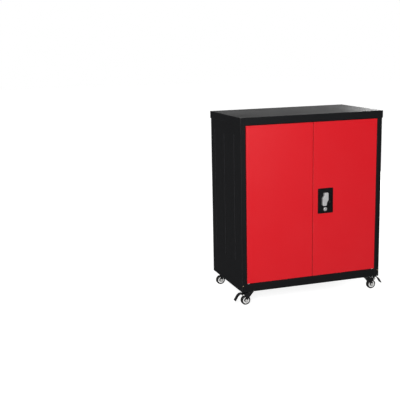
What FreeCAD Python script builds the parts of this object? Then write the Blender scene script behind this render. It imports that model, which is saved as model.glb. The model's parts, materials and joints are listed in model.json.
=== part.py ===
import FreeCAD, Part
import math
import os

V = FreeCAD.Vector

# Carcass
body_width = 800.0        # over the two side panels
body_depth = 450.0        # front of the posts to the back lips
body_height = 905.0       # underside of the carcass to the top of the cap
sheet = 1.0               # folded sheet of the carcass, doors and shelves
bend = 1.0                # inside radius of a fold
post_face = 26.0          # front face of a corner post
post_depth = 22.0         # return beside the door
post_lip = 10.0           # last fold of the post
rear_lip = 15.0           # fold that the back panel lies on
top_lip = 15.0            # fold that the cap lies on
cap_skirt = 38.0          # height of the cap's turned-down edge
cap_overhang = 3.0        # cap beyond the carcass
cap_clearance = 0.2       # cap hem to the carcass
sill_height = 42.0        # black strip below the doors
sill_return = 18.0        # lowest fold of the sill
rail_depth = 45.0         # head rail, front to back
rail_lip = 20.0           # rear fold of the head rail
panel_clearance = 1.0     # edge of an inner panel to the side walls

# Pressed beads
bead_count = 3
bead_front_gap = 40.0     # first bead behind the front shelf strips
bead_rear_gap = 30.0      # last bead before the rear shelf strips
bead_width = 12.0
bead_depth = 2.5
bead_top_margin = 60.0    # end of a bead below the cap's edge
bead_low_margin = 150.0   # end of a bead above the underside
back_bead_spacing = 300.0
back_bead_margin = 90.0

# Doors
door_gap = 3.0            # between the doors and all round them
swing_clearance = 0.3     # corner of a door to the post as it swings past
door_thickness = 17.0
door_lip = 18.0           # inward fold at the rear of a door
fold_radius = 2.0         # outside radius of the pan corners
stiffener_width = 60.0
stiffener_depth = 13.0
stiffener_flange = 14.0
stiffener_taper = 4.0
stiffener_end_gap = 5.0

# Door pivots
pivot_radius = 2.5
pivot_head_radius = 4.0
pivot_head = 2.0
pivot_reach = 5.0         # pin beyond the sheet that carries it
running_fit = 0.05        # radial clearance of every pin and shaft
washer_radius = 5.0
washer_clearance = 0.2
bracket_sheet = 2.0
bracket_height = 20.0
bracket_length = 20.0
bracket_gap = 2.0         # bracket to the door's rear lip

# Shelves
strip_width = 24.0
strip_depth = 4.0
strip_front = 55.0        # centre of a front strip behind the front
strip_rear = 35.0         # centre of a rear strip before the back
strip_head_gap = 15.0
slot_pitch = 50.0
slot_end_margin = 25.0    # least height of a strip above its last slot
slot_width = 12.0
slot_height = 4.0
shelf_height = 25.0
shelf_lip = 10.0
shelf_lock_gap = 7.0      # shelf edge behind the lock case
shelf_rear_gap = 1.0
shelf_side_gap = 0.5
lower_shelf_slot_count = 5    # slots up to the lower shelf's clips
upper_shelf_slot_count = 10
clip_sheet = 1.5
clip_ledge = 12.0
clip_drop = 10.0          # slot below the clip's ledge
clip_tail = 8.0
clip_fit = 0.2

# Lock plate
plate_x = 72.0            # centre of the lock plate from the middle of the cabinet
plate_z = 448.0           # its centre above the underside of the carcass
plate_side_margin = 6.0   # dish to the plate's side edges
plate_top_margin = 21.5   # dish to the plate's upper edge
plate_low_margin = 12.0   # rim of the key lock to the plate's lower edge
dish_key_gap = 4.5        # dish to the rim of the key lock
plate_corner = 4.0
plate_rim = 1.2           # rim proud of the door
plate_rim_lap = 2.0       # rim over the edge of the door's cut-out
plate_recess = 2.0
plate_wall = 1.5
plate_floor = 2.0         # moulding behind the deepest point of a scoop
plate_fit = 0.5
dish_radius = 38.0
dish_depth = 9.0
scoop_radius = 12.0
scoop_depth = 4.0
scoop_margin = 1.3        # scoop to the side of the dish
scoop_angle = 31.8        # degrees above or below the level of the axis
boss_radius = 10.5

# Turn lever and its driver
dish_clearance = 1.2      # corners of the lever to the side of the dish
lever_far = 16.5          # wide side of each grip from the axis
lever_near = 7.5          # narrow side of each grip
lever_shoulder = 6.0
lever_waist = 18.0
lever_corner = 6.0
lever_blend = 4.0
lever_edge = 2.0
lever_reach = 5.0         # face of the lever beyond the door
lever_lift = 0.6          # lever above the floor of the dish
hub_radius = 7.0
spindle_size = 8.0
driver_radius = 17.0
driver_thickness = 2.0
driver_lift = 0.5
drive_circle = 12.0       # radius of the two drive pins about the axis
drive_pin_radius = 2.5
drive_pin_proud = 1.2     # drive pins behind the rods

# Key lock
barrel_radius = 8.5
barrel_rim_radius = 10.0
barrel_rim = 3.0
plug_radius = 6.5
plug_proud = 0.4
keyway_width = 1.6
keyway_height = 8.0
keyway_depth = 8.0
tail_length = 12.0
tail_width = 5.0
tail_thickness = 1.3
end_play = 0.2

# Locking rods
rod_width = 12.0
rod_thickness = 3.0
rod_clearance = 0.8       # rods behind the door's lips, the driver and the key's tail
rod_end_gap = 2.0         # rod tip inside the door's edge when drawn in
rod_slot_fit = 1.6
pin_slot_fit = 0.6
rod_plate_gap = 1.5       # each rod's slotted plate beside the axis
rod_plate_wall = 3.5
guide_sheet = 1.0
guide_fit = 0.4
guide_foot = 8.0
guide_length = 12.0
case_half_width = 28.0
case_half_height = 40.0
case_foot = 10.0
case_clearance = 1.5      # drive pins to the lock case
screw_radius = 1.5
screw_head_radius = 3.0
screw_head = 1.8
screw_length = 8.0
screw_boss_radius = 4.0
screw_inset = 6.0         # lock screws inside the case's upper and lower ends

# Magnet catches
catch_width = 36.0
catch_height = 16.0
catch_depth = 15.0
catch_corner = 2.0
catch_gap = 0.3
catch_pole_inset = 4.0    # pole plates from the upper and lower faces
strike_width = 30.0
strike_height = 13.0
strike_thickness = 1.5
strike_drop = 5.0

# Carcass screws
carcass_screw_radius = 2.0
carcass_screw_head = 3.5
carcass_screw_length = 9.0
post_screw_inset = 6.5
post_screw_height = 34.0
back_screw_inset = 8.0
back_screw_count = 5
back_screw_margin = 60.0

# Casters
head_room = 26.0          # top of a wheel to the underside of the carcass
caster_side_inset = 56.0  # swivel axis from the side face
caster_end_inset = 32.0   # swivel axis from the front and the back
caster_trail = 27.0
wheel_radius = 25.0
wheel_width = 20.0
tyre_shoulder = 4.0
tyre_depth = 8.0
hub_rim = 3.0
hub_dish = 3.0
hub_boss_wall = 3.0
axle_radius = 4.0
axle_head = 4.0
axle_flats = 13.0
side_play = 0.3           # wheel boss to the fork
fork_sheet = 2.0
fork_gap = 1.5            # tyre to each leg
fork_eye = 9.5
head_overhang = 5.0       # bell of the fork's head beyond the legs
head_bend = 6.0
head_height = 9.0
kingpin_radius = 4.0
kingpin_flange = 13.0
kingpin_flange_height = 2.0
kingpin_rivet_radius = 7.0
kingpin_rivet = 1.5
swivel_play = 0.3
stem_radius = 5.0
stem_proud = 3.0          # stem above its nut
nut_flats = 17.0
nut_height = 8.0
bearer_sheet = 2.0
bearer_width = 50.0
bearer_flange = 12.0
bearer_gap = 0.3          # bearer behind the posts and the sill's lowest fold

# Brake pedals of the front casters
pedal_ahead = 15.0        # pedal pivot beyond the axle
pedal_over = 6.0          # pedal pivot above the top of the wheel
pedal_hub_radius = 5.0
pedal_pin_radius = 2.0
pedal_ear = 6.5
pedal_ear_corner = 3.2
pedal_heel_reach = 11.0   # bends of the pedal from its pivot
pedal_heel_rise = 11.0
pedal_belly_reach = 29.0
pedal_belly_drop = 2.0
pedal_tip_reach = 45.0
pedal_tip_drop = 28.0
pedal_width = 16.0        # between the ears
pedal_pad_width = 26.0    # beyond the ears
pedal_pad_gap = 7.0       # edge of the pad after the heel's bend
pedal_sheet = 2.5
pedal_bend = 5.0
pedal_rib = 1.8
pedal_rib_pitch = 5.5
pedal_rib_count = 5
pedal_rib_rise = 0.8
shoe_gap = 0.7            # brake shoe to the tyre at rest

# Levels and faces that the rest is set out from
half_sheet = sheet / 2
side = body_width / 2
inner_side = side - sheet
jamb = side - post_face
caster_height = 2 * wheel_radius + head_room
base = caster_height
roof = base + body_height
panel_top = roof - sheet
floor_top = base + sill_height
rail_under = roof - cap_skirt
front_reach = max(cap_overhang, lever_reach)
front = (front_reach - body_depth - cap_overhang) / 2
back = front + body_depth
tiny = 1e-6

# Doors and their pivots
pivot_inset = door_thickness / 2
swing_radius = (pivot_inset - fold_radius) * math.sqrt(2) + fold_radius
jamb_gap = max(door_gap, swing_radius - pivot_inset + swing_clearance)
door_low = floor_top + door_gap
door_high = rail_under - door_gap
door_middle = (door_low + door_high) / 2
door_outer = jamb - jamb_gap
door_inner = door_gap / 2
door_rear = front + door_thickness
pivot_x = door_outer - pivot_inset
pivot_y = front + pivot_inset

# Lock plate and lever
plate_width = 2 * (dish_radius + plate_side_margin)
plate_height = plate_top_margin + 2 * dish_radius + dish_key_gap + 2 * barrel_rim_radius + plate_low_margin
plate_level = base + plate_z
plate_rear = front + dish_depth + scoop_depth + plate_floor
lever_level = plate_level + plate_height / 2 - plate_top_margin - dish_radius
key_level = plate_level - plate_height / 2 + plate_low_margin + barrel_rim_radius
lever_sweep = dish_radius - dish_clearance - lever_corner
lever_half_length = lever_corner + math.sqrt(lever_sweep ** 2 - (lever_far - lever_corner) ** 2)
scoop_swing = dish_radius - scoop_radius - scoop_margin
scoop_x = scoop_swing * math.cos(math.radians(scoop_angle))
scoop_z = scoop_swing * math.sin(math.radians(scoop_angle))

# Driver, rods, lock case and catches
driver_front = plate_rear + driver_lift
driver_rear = driver_front + driver_thickness
tail_front = plate_rear + sheet + end_play
rod_front = max(door_rear, driver_rear, tail_front + tail_thickness) + rod_clearance
rod_rear = rod_front + rod_thickness
pin_end = rod_rear + drive_pin_proud
case_rear = pin_end + case_clearance + sheet
drive_offset = drive_circle * math.sin(math.radians(45))
guide_reach = rod_width / 2 + guide_fit + guide_sheet + guide_foot
catch_x = (door_inner + plate_x - guide_reach) / 2
shelf_front = case_rear + shelf_lock_gap

# Shelf strips
strip_top = rail_under - strip_head_gap
slot_count = int((strip_top - floor_top - slot_end_margin) // slot_pitch)

# Casters, below the underside of the carcass
axle_drop = caster_height - wheel_radius
hub_outer = wheel_radius - tyre_depth
leg_inner = wheel_width / 2 + fork_gap
leg_outer = leg_inner + fork_sheet
head_radius = leg_outer + head_overhang
head_top = -kingpin_flange_height - swivel_play
stem_reach = bearer_sheet + nut_height + stem_proud
bearer_front = front + max(post_depth, sill_return) + bearer_gap
pedal_x = caster_trail + pedal_ahead
pedal_level = pedal_over - head_room


# Shapes used by many pieces

def box(x0, x1, y0, y1, z0, z1):
    return Part.makeBox(x1 - x0, y1 - y0, z1 - z0, V(x0, y0, z0))


def cylinder(radius, start, end):
    """Round bar between two points."""
    run = end.sub(start)
    return Part.makeCylinder(radius, run.Length, start, run)


def on_plane(plane, point):
    """A point of an outline, drawn on the named plane through the origin."""
    u, v = point
    return {"xy": V(u, v, 0), "xz": V(u, 0, v), "yz": V(0, u, v)}[plane]


def plane_normal(plane):
    return {"xy": V(0, 0, 1), "xz": V(0, 1, 0), "yz": V(1, 0, 0)}[plane]


def unit(start, end):
    length = math.hypot(end[0] - start[0], end[1] - start[1])
    return (end[0] - start[0]) / length, (end[1] - start[1]) / length


def corner_arc(before, corner, after, radius):
    """Start, middle and end of the arc that rounds one corner of an outline."""
    a = unit(corner, before)
    b = unit(corner, after)
    half_angle = math.acos(max(-1.0, min(1.0, a[0] * b[0] + a[1] * b[1]))) / 2
    bisector = unit((0, 0), (a[0] + b[0], a[1] + b[1]))
    setback = radius / math.tan(half_angle)
    reach = radius / math.sin(half_angle) - radius
    start = (corner[0] + a[0] * setback, corner[1] + a[1] * setback)
    middle = (corner[0] + bisector[0] * reach, corner[1] + bisector[1] * reach)
    end = (corner[0] + b[0] * setback, corner[1] + b[1] * setback)
    return start, middle, end


def outline(points, radii, plane):
    """Closed wire through the points, with each corner rounded by its own radius."""
    count = len(points)
    corners = []
    for i in range(count):
        corners.append(corner_arc(points[i - 1], points[i], points[(i + 1) % count], radii[i]))
    edges = []
    for i in range(count):
        start, middle, end = (on_plane(plane, point) for point in corners[i])
        following = on_plane(plane, corners[(i + 1) % count][0])
        if radii[i] > tiny:
            edges.append(Part.Arc(start, middle, end).toShape())
        if end.distanceToPoint(following) > tiny:
            edges.append(Part.makeLine(end, following))
    return Part.Wire(edges)


def prism(points, radii, plane, start, end):
    """Solid of a rounded outline, from start to end along the plane's normal."""
    face = Part.Face(outline(points, radii, plane))
    normal = plane_normal(plane)
    face.translate(normal * start)
    return face.extrude(normal * (end - start))


def plate_prism(half_u, half_v, radius, plane, start, end, u=0.0, v=0.0):
    """Solid of a rounded rectangle."""
    points = [(u - half_u, v - half_v), (u + half_u, v - half_v),
              (u + half_u, v + half_v), (u - half_u, v + half_v)]
    return prism(points, [radius] * 4, plane, start, end)


def folded(path, plane, start, end, thickness=sheet, radius=bend):
    """Sheet folded along a path on its middle plane, from start to end along the plane's normal."""
    half = thickness / 2
    left = []
    right = []
    left_radii = []
    right_radii = []
    for i, point in enumerate(path):
        first = unit(path[max(i - 1, 0)], path[max(i, 1)])
        second = unit(path[min(i, len(path) - 2)], path[min(i + 1, len(path) - 1)])
        spread = 1 + first[0] * second[0] + first[1] * second[1]
        offset = (-(first[1] + second[1]) * half / spread, (first[0] + second[0]) * half / spread)
        left.append((point[0] + offset[0], point[1] + offset[1]))
        right.append((point[0] - offset[0], point[1] - offset[1]))
        turn = first[0] * second[1] - first[1] * second[0]
        corner = 0.0 if abs(turn) < tiny else radius
        left_radii.append(corner + (thickness if turn < -tiny else 0.0))
        right_radii.append(corner + (thickness if turn > tiny else 0.0))
    return prism(left + right[::-1], left_radii + right_radii[::-1], plane, start, end)


def revolved(points, radii, plane, centre, direction):
    """Solid of revolution of a rounded outline about an axis in its plane."""
    return Part.Face(outline(points, radii, plane)).revolve(centre, direction, 360)


def ring(outer, inner, plane, start, end, u=0.0, v=0.0):
    """Washer shape, along the plane's normal."""
    centre = on_plane(plane, (u, v))
    normal = plane_normal(plane)
    body = cylinder(outer, centre + normal * start, centre + normal * end)
    return body.cut(cylinder(inner, centre + normal * start, centre + normal * end))


def hexagon(flats, plane, start, end, u=0.0, v=0.0):
    reach = flats / 2 / math.cos(math.radians(30))
    points = []
    for i in range(6):
        angle = math.radians(60 * i)
        points.append((u + reach * math.cos(angle), v + reach * math.sin(angle)))
    return prism(points, [0.0] * 6, plane, start, end)


def rounded_box(low, high, radius):
    body = box(low[0], high[0], low[1], high[1], low[2], high[2])
    if radius < tiny:
        return body
    return body.makeFillet(radius, body.Edges)


def pan(low, high, axis, towards, lip):
    """Folded pan: one face, four walls and an inward lip round the open side."""
    outer = rounded_box(low, high, fold_radius)
    inner_radius = max(fold_radius - sheet, 0.0)
    cavity = rounded_box([c + sheet for c in low], [c - sheet for c in high], inner_radius)
    window_low = [c + lip for c in low]
    window_high = [c - lip for c in high]
    if towards > 0:
        window_low[axis] = (low[axis] + high[axis]) / 2
        window_high[axis] = high[axis] + sheet
    else:
        window_low[axis] = low[axis] - sheet
        window_high[axis] = (low[axis] + high[axis]) / 2
    return outer.cut([cavity, box(window_low[0], window_high[0], window_low[1], window_high[1],
                                  window_low[2], window_high[2])])


def joined(first, others):
    return first.fuse(others).removeSplitter()


def across(shape):
    """The same piece on the other side of the cabinet."""
    return shape.mirror(V(0, 0, 0), V(1, 0, 0))


def capsule(start, end, radius):
    """Round bar with ball ends."""
    run = end.sub(start)
    top_level = run.Length
    slant = radius * math.sqrt(0.5)
    rod = Part.makeLine(V(0, 0, -radius), V(0, 0, top_level + radius))
    top = Part.Arc(V(0, 0, top_level + radius), V(slant, 0, top_level + slant),
                   V(radius, 0, top_level)).toShape()
    flank = Part.makeLine(V(radius, 0, top_level), V(radius, 0, 0))
    low = Part.Arc(V(radius, 0, 0), V(slant, 0, -slant), V(0, 0, -radius)).toShape()
    body = Part.Face(Part.Wire([rod, top, flank, low])).revolve(V(0, 0, 0), V(0, 0, 1), 360)
    body.Placement = FreeCAD.Placement(start, FreeCAD.Rotation(V(0, 0, 1), run))
    return body


def with_bead(panel, start, end, pressed):
    """Panel with a bead pressed into it, from start to end on the pressed face, in the direction pressed."""
    radius = (bead_width * bead_width / 4 + bead_depth * bead_depth) / (2 * bead_depth)
    lift = pressed * (bead_depth - radius)
    tool = capsule(start + lift, end + lift, radius)
    skin = capsule(start + lift, end + lift, radius + sheet)
    behind = capsule(start + lift, end + lift, 2 * radius).BoundBox
    low = V(behind.XMin, behind.YMin, behind.ZMin)
    high = V(behind.XMax, behind.YMax, behind.ZMax)
    if pressed.x > 0.5:
        low.x = start.x
    if pressed.y > 0.5:
        low.y = start.y
    ridge = skin.common(box(low.x, high.x, low.y, high.y, low.z, high.z))
    return joined(panel, [ridge]).cut(tool)


# Carcass

def side_panel():
    """Left side: post, wall and rear lip from one sheet, with a top lip and pressed beads."""
    wall = -side + half_sheet
    post_line = -jamb - half_sheet
    path = [(-jamb - post_lip, front + post_depth - half_sheet),
            (post_line, front + post_depth - half_sheet),
            (post_line, front + half_sheet),
            (wall, front + half_sheet),
            (wall, back - half_sheet),
            (-side + rear_lip, back - half_sheet)]
    panel = folded(path, "xy", base, panel_top)
    lip = box(-side + half_sheet, -side + top_lip, front + post_depth + bend, back - sheet - 2 * bend,
              panel_top - sheet, panel_top)
    panel = joined(panel, [lip])
    first = front + strip_front + bead_front_gap
    pitch = (back - strip_rear - bead_rear_gap - first) / (bead_count - 1)
    for i in range(bead_count):
        y = first + i * pitch
        low = V(-side, y, base + bead_low_margin)
        high = V(-side, y, roof - cap_skirt - bead_top_margin)
        panel = with_bead(panel, low, high, V(1, 0, 0))
    holes = [cylinder(carcass_screw_radius, V(-side + post_screw_inset, front, base + post_screw_height),
                      V(-side + post_screw_inset, front + sheet, base + post_screw_height))]
    for x, z in back_screw_points():
        if x < 0:
            holes.append(cylinder(carcass_screw_radius, V(x, back - sheet, z), V(x, back, z)))
    return panel.cut(holes)


def back_panel():
    """Flat back against the rear lips, with beads pressed outwards."""
    reach = inner_side - panel_clearance
    inner_face = back - 2 * sheet
    panel = box(-reach, reach, inner_face, back - sheet, base, panel_top)
    for x in (-back_bead_spacing / 2, back_bead_spacing / 2):
        low = V(x, inner_face, floor_top + back_bead_margin)
        high = V(x, inner_face, rail_under - back_bead_margin)
        panel = with_bead(panel, low, high, V(0, 1, 0))
    holes = []
    for x, z in back_screw_points():
        holes.append(cylinder(carcass_screw_radius, V(x, inner_face, z), V(x, back, z)))
    return panel.cut(holes)


def back_screw_points():
    """Screws through the rear lips into the back panel."""
    low = base + back_screw_margin
    pitch = (panel_top - back_screw_margin - low) / (back_screw_count - 1)
    points = []
    for x in (-side + back_screw_inset, side - back_screw_inset):
        for row in range(back_screw_count):
            points.append((x, low + row * pitch))
    return points


def top_cap():
    low = [-side - cap_overhang, front - cap_overhang, roof - cap_skirt]
    high = [side + cap_overhang, back + cap_overhang, roof]
    return pan(low, high, 2, -1, cap_overhang - cap_clearance)


def rod_slot(z0, z1):
    """Opening that lets a locking rod pass."""
    half = rod_width / 2 + rod_slot_fit
    return box(plate_x - half, plate_x + half, rod_front - rod_slot_fit, rod_rear + rod_slot_fit, z0, z1)


def pivot_holes(z0, z1):
    holes = []
    for x in (-pivot_x, pivot_x):
        holes.append(cylinder(pivot_radius + running_fit, V(x, pivot_y, z0), V(x, pivot_y, z1)))
    return holes


def bottom_panel():
    """Floor with the sill folded down at the front and a flange at the back."""
    rear = back - 2 * sheet
    path = [(front + sill_return, base + half_sheet),
            (front + half_sheet, base + half_sheet),
            (front + half_sheet, floor_top - half_sheet),
            (rear - half_sheet, floor_top - half_sheet),
            (rear - half_sheet, base)]
    pan_body = folded(path, "yz", -jamb, jamb)
    wings = []
    for low, high in ((-inner_side, -jamb), (jamb, inner_side)):
        wings.append(box(low, high, front + post_depth, rear, floor_top - sheet, floor_top))
    floor_body = joined(pan_body, wings)
    holes = pivot_holes(floor_top - sheet, floor_top)
    return floor_body.cut(holes + [rod_slot(floor_top - sheet, floor_top)])


def head_rail():
    """Channel over the doors that takes the upper pivots and the upper rod."""
    path = [(front + half_sheet, panel_top - sheet),
            (front + half_sheet, rail_under + half_sheet),
            (front + rail_depth - half_sheet, rail_under + half_sheet),
            (front + rail_depth - half_sheet, rail_under + rail_lip)]
    rail = folded(path, "yz", -jamb, jamb)
    tab = box(-jamb, jamb, front, front + sheet, panel_top - 2 * sheet, panel_top)
    holes = pivot_holes(rail_under, rail_under + sheet)
    return joined(rail, [tab]).cut(holes + [rod_slot(rail_under, rail_under + sheet)])


def caster_bearer():
    """Hat channel under the floor that the casters bolt to, at the right."""
    x = side - caster_side_inset
    half = bearer_width / 2
    half_bearer = bearer_sheet / 2
    top = floor_top - sheet - half_bearer
    path = [(x - half - bearer_flange, top),
            (x - half + half_bearer, top),
            (x - half + half_bearer, base + half_bearer),
            (x + half - half_bearer, base + half_bearer),
            (x + half - half_bearer, top),
            (x + half + bearer_flange, top)]
    channel = folded(path, "xz", bearer_front, back - 3 * sheet - bend, bearer_sheet)
    holes = []
    for y in (front + caster_end_inset, back - caster_end_inset):
        holes.append(cylinder(stem_radius, V(x, y, base), V(x, y, base + bearer_sheet)))
    return channel.cut(holes)


def strip_levels():
    """Heights of the slots in a shelf strip."""
    return [floor_top + slot_pitch * (i + 1) for i in range(slot_count)]


def shelf_strip(y):
    """Slotted strip on the left wall."""
    web = -inner_side + strip_depth - half_sheet
    half = strip_width / 2 - half_sheet
    path = [(-inner_side, y - half), (web, y - half), (web, y + half), (-inner_side, y + half)]
    strip = folded(path, "xy", floor_top, strip_top)
    slots = []
    for z in strip_levels():
        slots.append(box(-inner_side + sheet, -inner_side + 2 * strip_depth,
                         y - slot_width / 2, y + slot_width / 2, z - slot_height / 2, z + slot_height / 2))
    return strip.cut(slots)


def shelf_rest(slot_number):
    """Level of the clips' ledges for a shelf hung from the given slot."""
    return strip_levels()[slot_number - 1] + clip_drop


def shelf(slot_number):
    level = shelf_rest(slot_number)
    half = inner_side - strip_depth - clip_sheet - shelf_side_gap
    low = [-half, shelf_front, level]
    high = [half, back - 2 * sheet - shelf_rear_gap, level + shelf_height]
    return pan(low, high, 2, -1, shelf_lip)


def shelf_clip(y, slot_number):
    """Angle clip on the left wall, hooked into its slot, with a ledge for the shelf."""
    level = shelf_rest(slot_number)
    slot_level = level - clip_drop
    face = -inner_side + strip_depth
    half = slot_width / 2 - clip_fit
    path = [(face + clip_sheet / 2, slot_level - clip_tail),
            (face + clip_sheet / 2, level - clip_sheet / 2),
            (face + clip_ledge, level - clip_sheet / 2)]
    angle = folded(path, "xz", y - half, y + half, clip_sheet)
    tongue = box(face - 2 * sheet, face + clip_sheet, y - half, y + half,
                 slot_level - slot_height / 2 + clip_fit, slot_level + slot_height / 2 - clip_fit)
    hook = box(face - 2 * sheet, face - sheet - clip_fit, y - half, y + half,
               slot_level - slot_height, slot_level + slot_height / 2 - clip_fit)
    return joined(angle, [tongue, hook])


def shelf_clips():
    clips = []
    for slot_number in (lower_shelf_slot_count, upper_shelf_slot_count):
        for y in (front + strip_front, back - strip_rear):
            clips.append(shelf_clip(y, slot_number))
            clips.append(across(clips[-1]))
    return Part.makeCompound(clips)


def pan_head_screw(point, direction, length, radius, head_radius, head):
    """Screw whose domed head lies on the point, with its shank along the direction."""
    dome_radius = (head_radius * head_radius + head * head) / (2 * head)
    dome = Part.makeSphere(dome_radius, point + direction * (dome_radius - head))
    dome = dome.common(cylinder(head_radius, point - direction * head, point))
    return joined(dome, [cylinder(radius, point, point + direction * length)])


def carcass_screws():
    """Screws of the posts and of the back panel."""
    screws = []
    for x in (-side + post_screw_inset, side - post_screw_inset):
        point = V(x, front, base + post_screw_height)
        screws.append(pan_head_screw(point, V(0, 1, 0), carcass_screw_length,
                                     carcass_screw_radius, carcass_screw_head, screw_head))
    for x, z in back_screw_points():
        screws.append(pan_head_screw(V(x, back, z), V(0, -1, 0), carcass_screw_length,
                                     carcass_screw_radius, carcass_screw_head, screw_head))
    return Part.makeCompound(screws)


def pivot_washers():
    """Plain washers that carry the doors, two on the sill and two under the head rail."""
    washers = []
    thickness = door_gap - washer_clearance
    for x in (-pivot_x, pivot_x):
        for z in (floor_top, rail_under - thickness):
            washers.append(ring(washer_radius, pivot_radius + running_fit, "xy", z, z + thickness,
                                x, pivot_y))
    return Part.makeCompound(washers)


def magnet_catch():
    """Right magnet catch under the head rail, with its two pole plates."""
    y0 = door_rear + strike_thickness + catch_gap
    low = rail_under - catch_height
    body = plate_prism(catch_width / 2, catch_depth / 2, catch_corner, "xy", low, rail_under,
                       catch_x, y0 + catch_depth / 2)
    grooves = []
    for z in (low + catch_pole_inset, rail_under - catch_pole_inset):
        grooves.append(box(catch_x - catch_width / 2, catch_x + catch_width / 2, y0, y0 + sheet,
                           z - half_sheet, z + half_sheet))
    return body.cut(grooves)


# Doors

def door_panel():
    """Left door: a pan open to the rear, with holes for its pivot pins."""
    door = pan([-door_outer, front, door_low], [-door_inner, door_rear, door_high], 1, 1, door_lip)
    holes = []
    for z in (door_low, door_high - sheet):
        holes.append(cylinder(pivot_radius, V(-pivot_x, pivot_y, z), V(-pivot_x, pivot_y, z + sheet)))
    return door.cut(holes)


def right_door_panel():
    """Right door, with the cut-out for the lock plate."""
    half_u = plate_width / 2 - plate_rim_lap + plate_fit
    half_v = plate_height / 2 - plate_rim_lap + plate_fit
    cut_out = plate_prism(half_u, half_v, plate_corner, "xz", front - sheet, front + 2 * sheet,
                          plate_x, plate_level)
    return across(door_panel()).cut(cut_out)


def door_stiffener():
    """Hat section on the inner face of the left door."""
    x = -(door_outer + door_inner) / 2
    near = front + sheet + half_sheet
    far = front + sheet + stiffener_depth - half_sheet
    outer = stiffener_width / 2
    foot = outer - stiffener_flange
    path = [(x - outer, near), (x - foot, near), (x - foot + stiffener_taper, far),
            (x + foot - stiffener_taper, far), (x + foot, near), (x + outer, near)]
    margin = door_lip + stiffener_end_gap
    return folded(path, "xy", door_low + margin, door_high - margin)


def upper_too(shape):
    """A lower piece of a door and its twin at the top."""
    twin = shape.mirror(V(0, 0, door_middle), V(0, 0, 1))
    return Part.makeCompound([shape, twin])


def hinge_brackets():
    """Angles in the outer corners of the left door that hold its pivot pins."""
    half = bracket_sheet / 2
    path = [(front + sheet + half, door_low + sheet + bracket_height),
            (front + sheet + half, door_low + sheet + half),
            (door_rear - sheet - bracket_gap, door_low + sheet + half)]
    x0 = -door_outer + sheet + bend
    angle = folded(path, "yz", x0, x0 + bracket_length, bracket_sheet)
    axis_foot = V(-pivot_x, pivot_y, door_low)
    return upper_too(angle.cut(cylinder(pivot_radius, axis_foot, axis_foot + V(0, 0, bracket_height))))


def pivot_pins():
    """Headed pins of the left door, through its edge and into the sill and the head rail."""
    seat = V(-pivot_x, pivot_y, door_low + sheet + bracket_sheet)
    tip = V(-pivot_x, pivot_y, floor_top - sheet - pivot_reach)
    shank = cylinder(pivot_radius, tip, seat)
    head = cylinder(pivot_head_radius, seat, seat + V(0, 0, pivot_head))
    return upper_too(joined(shank, [head]))


def strike():
    """Plate on the rear lip of the left door that meets the magnet."""
    top = door_high - strike_drop
    half = strike_width / 2
    return box(-catch_x - half, -catch_x + half, door_rear, door_rear + strike_thickness,
               top - strike_height, top)


# Lock

def lock_screw_points():
    x = case_half_width + case_foot / 2
    z = case_half_height - screw_inset
    return [(plate_x - x, lever_level - z), (plate_x + x, lever_level - z),
            (plate_x - x, lever_level + z), (plate_x + x, lever_level + z)]


def scoop(sign):
    """Finger scoop in the floor of the dish."""
    radius = (scoop_radius * scoop_radius + scoop_depth * scoop_depth) / (2 * scoop_depth)
    x = plate_x - sign * scoop_x
    z = lever_level + sign * scoop_z
    deepest = front + dish_depth + scoop_depth
    ball = Part.makeSphere(radius, V(x, deepest - radius, z))
    return ball.common(cylinder(scoop_radius, V(x, front + dish_depth - sheet, z), V(x, deepest + sheet, z)))


def front_edges(shape, face):
    """Edges of a shape that lie in its frontmost face."""
    return [edge for edge in shape.Edges if edge.BoundBox.YMax < face + tiny]


def lock_escutcheon():
    """Moulded lock plate: rim, shallow recess, round dish with two scoops, and hollow bosses behind."""
    half_u = plate_width / 2 - plate_rim_lap
    half_v = plate_height / 2 - plate_rim_lap
    rim = plate_prism(plate_width / 2, plate_height / 2, plate_corner, "xz", front - plate_rim, front,
                      plate_x, plate_level)
    rim = rim.makeFillet(plate_rim / 2, front_edges(rim, front - plate_rim))
    body = plate_prism(half_u, half_v, plate_corner - plate_fit, "xz", front, plate_rear,
                       plate_x, plate_level)
    recess = plate_prism(half_u - plate_wall / 2, half_v - plate_wall / 2, plate_corner - 2 * plate_fit, "xz",
                         front - plate_rim, front + plate_recess, plate_x, plate_level)
    axis = V(plate_x, 0, lever_level)
    dish = cylinder(dish_radius, axis + V(0, front - plate_rim, 0), axis + V(0, front + dish_depth, 0))
    hollow = plate_prism(half_u - plate_wall, half_v - plate_wall, plate_corner - 2 * plate_fit, "xz",
                         front + plate_recess + plate_wall, plate_rear, plate_x, plate_level)
    cups = [cylinder(dish_radius + plate_wall, axis + V(0, front, 0),
                     axis + V(0, front + dish_depth + plate_wall, 0)),
            cylinder(boss_radius, axis + V(0, front, 0), axis + V(0, plate_rear, 0)),
            cylinder(barrel_radius + plate_wall, V(plate_x, front, key_level),
                     V(plate_x, front + dish_depth + plate_wall, key_level))]
    for sign in (-1, 1):
        x = plate_x - sign * scoop_x
        z = lever_level + sign * scoop_z
        cups.append(cylinder(scoop_radius + plate_wall, V(x, front, z), V(x, plate_rear - plate_wall / 2, z)))
    for x, z in lock_screw_points():
        cups.append(cylinder(screw_boss_radius, V(x, front, z), V(x, plate_rear, z)))
    hollow = hollow.cut(cups)
    holes = [cylinder(hub_radius + running_fit, axis + V(0, front, 0), axis + V(0, plate_rear, 0)),
             cylinder(barrel_radius, V(plate_x, front, key_level), V(plate_x, plate_rear, key_level))]
    for x, z in lock_screw_points():
        holes.append(cylinder(screw_radius, V(x, plate_rear - screw_length + sheet, z), V(x, plate_rear, z)))
    return joined(rim, [body]).cut([recess, dish, scoop(-1), scoop(1), hollow] + holes)


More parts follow.
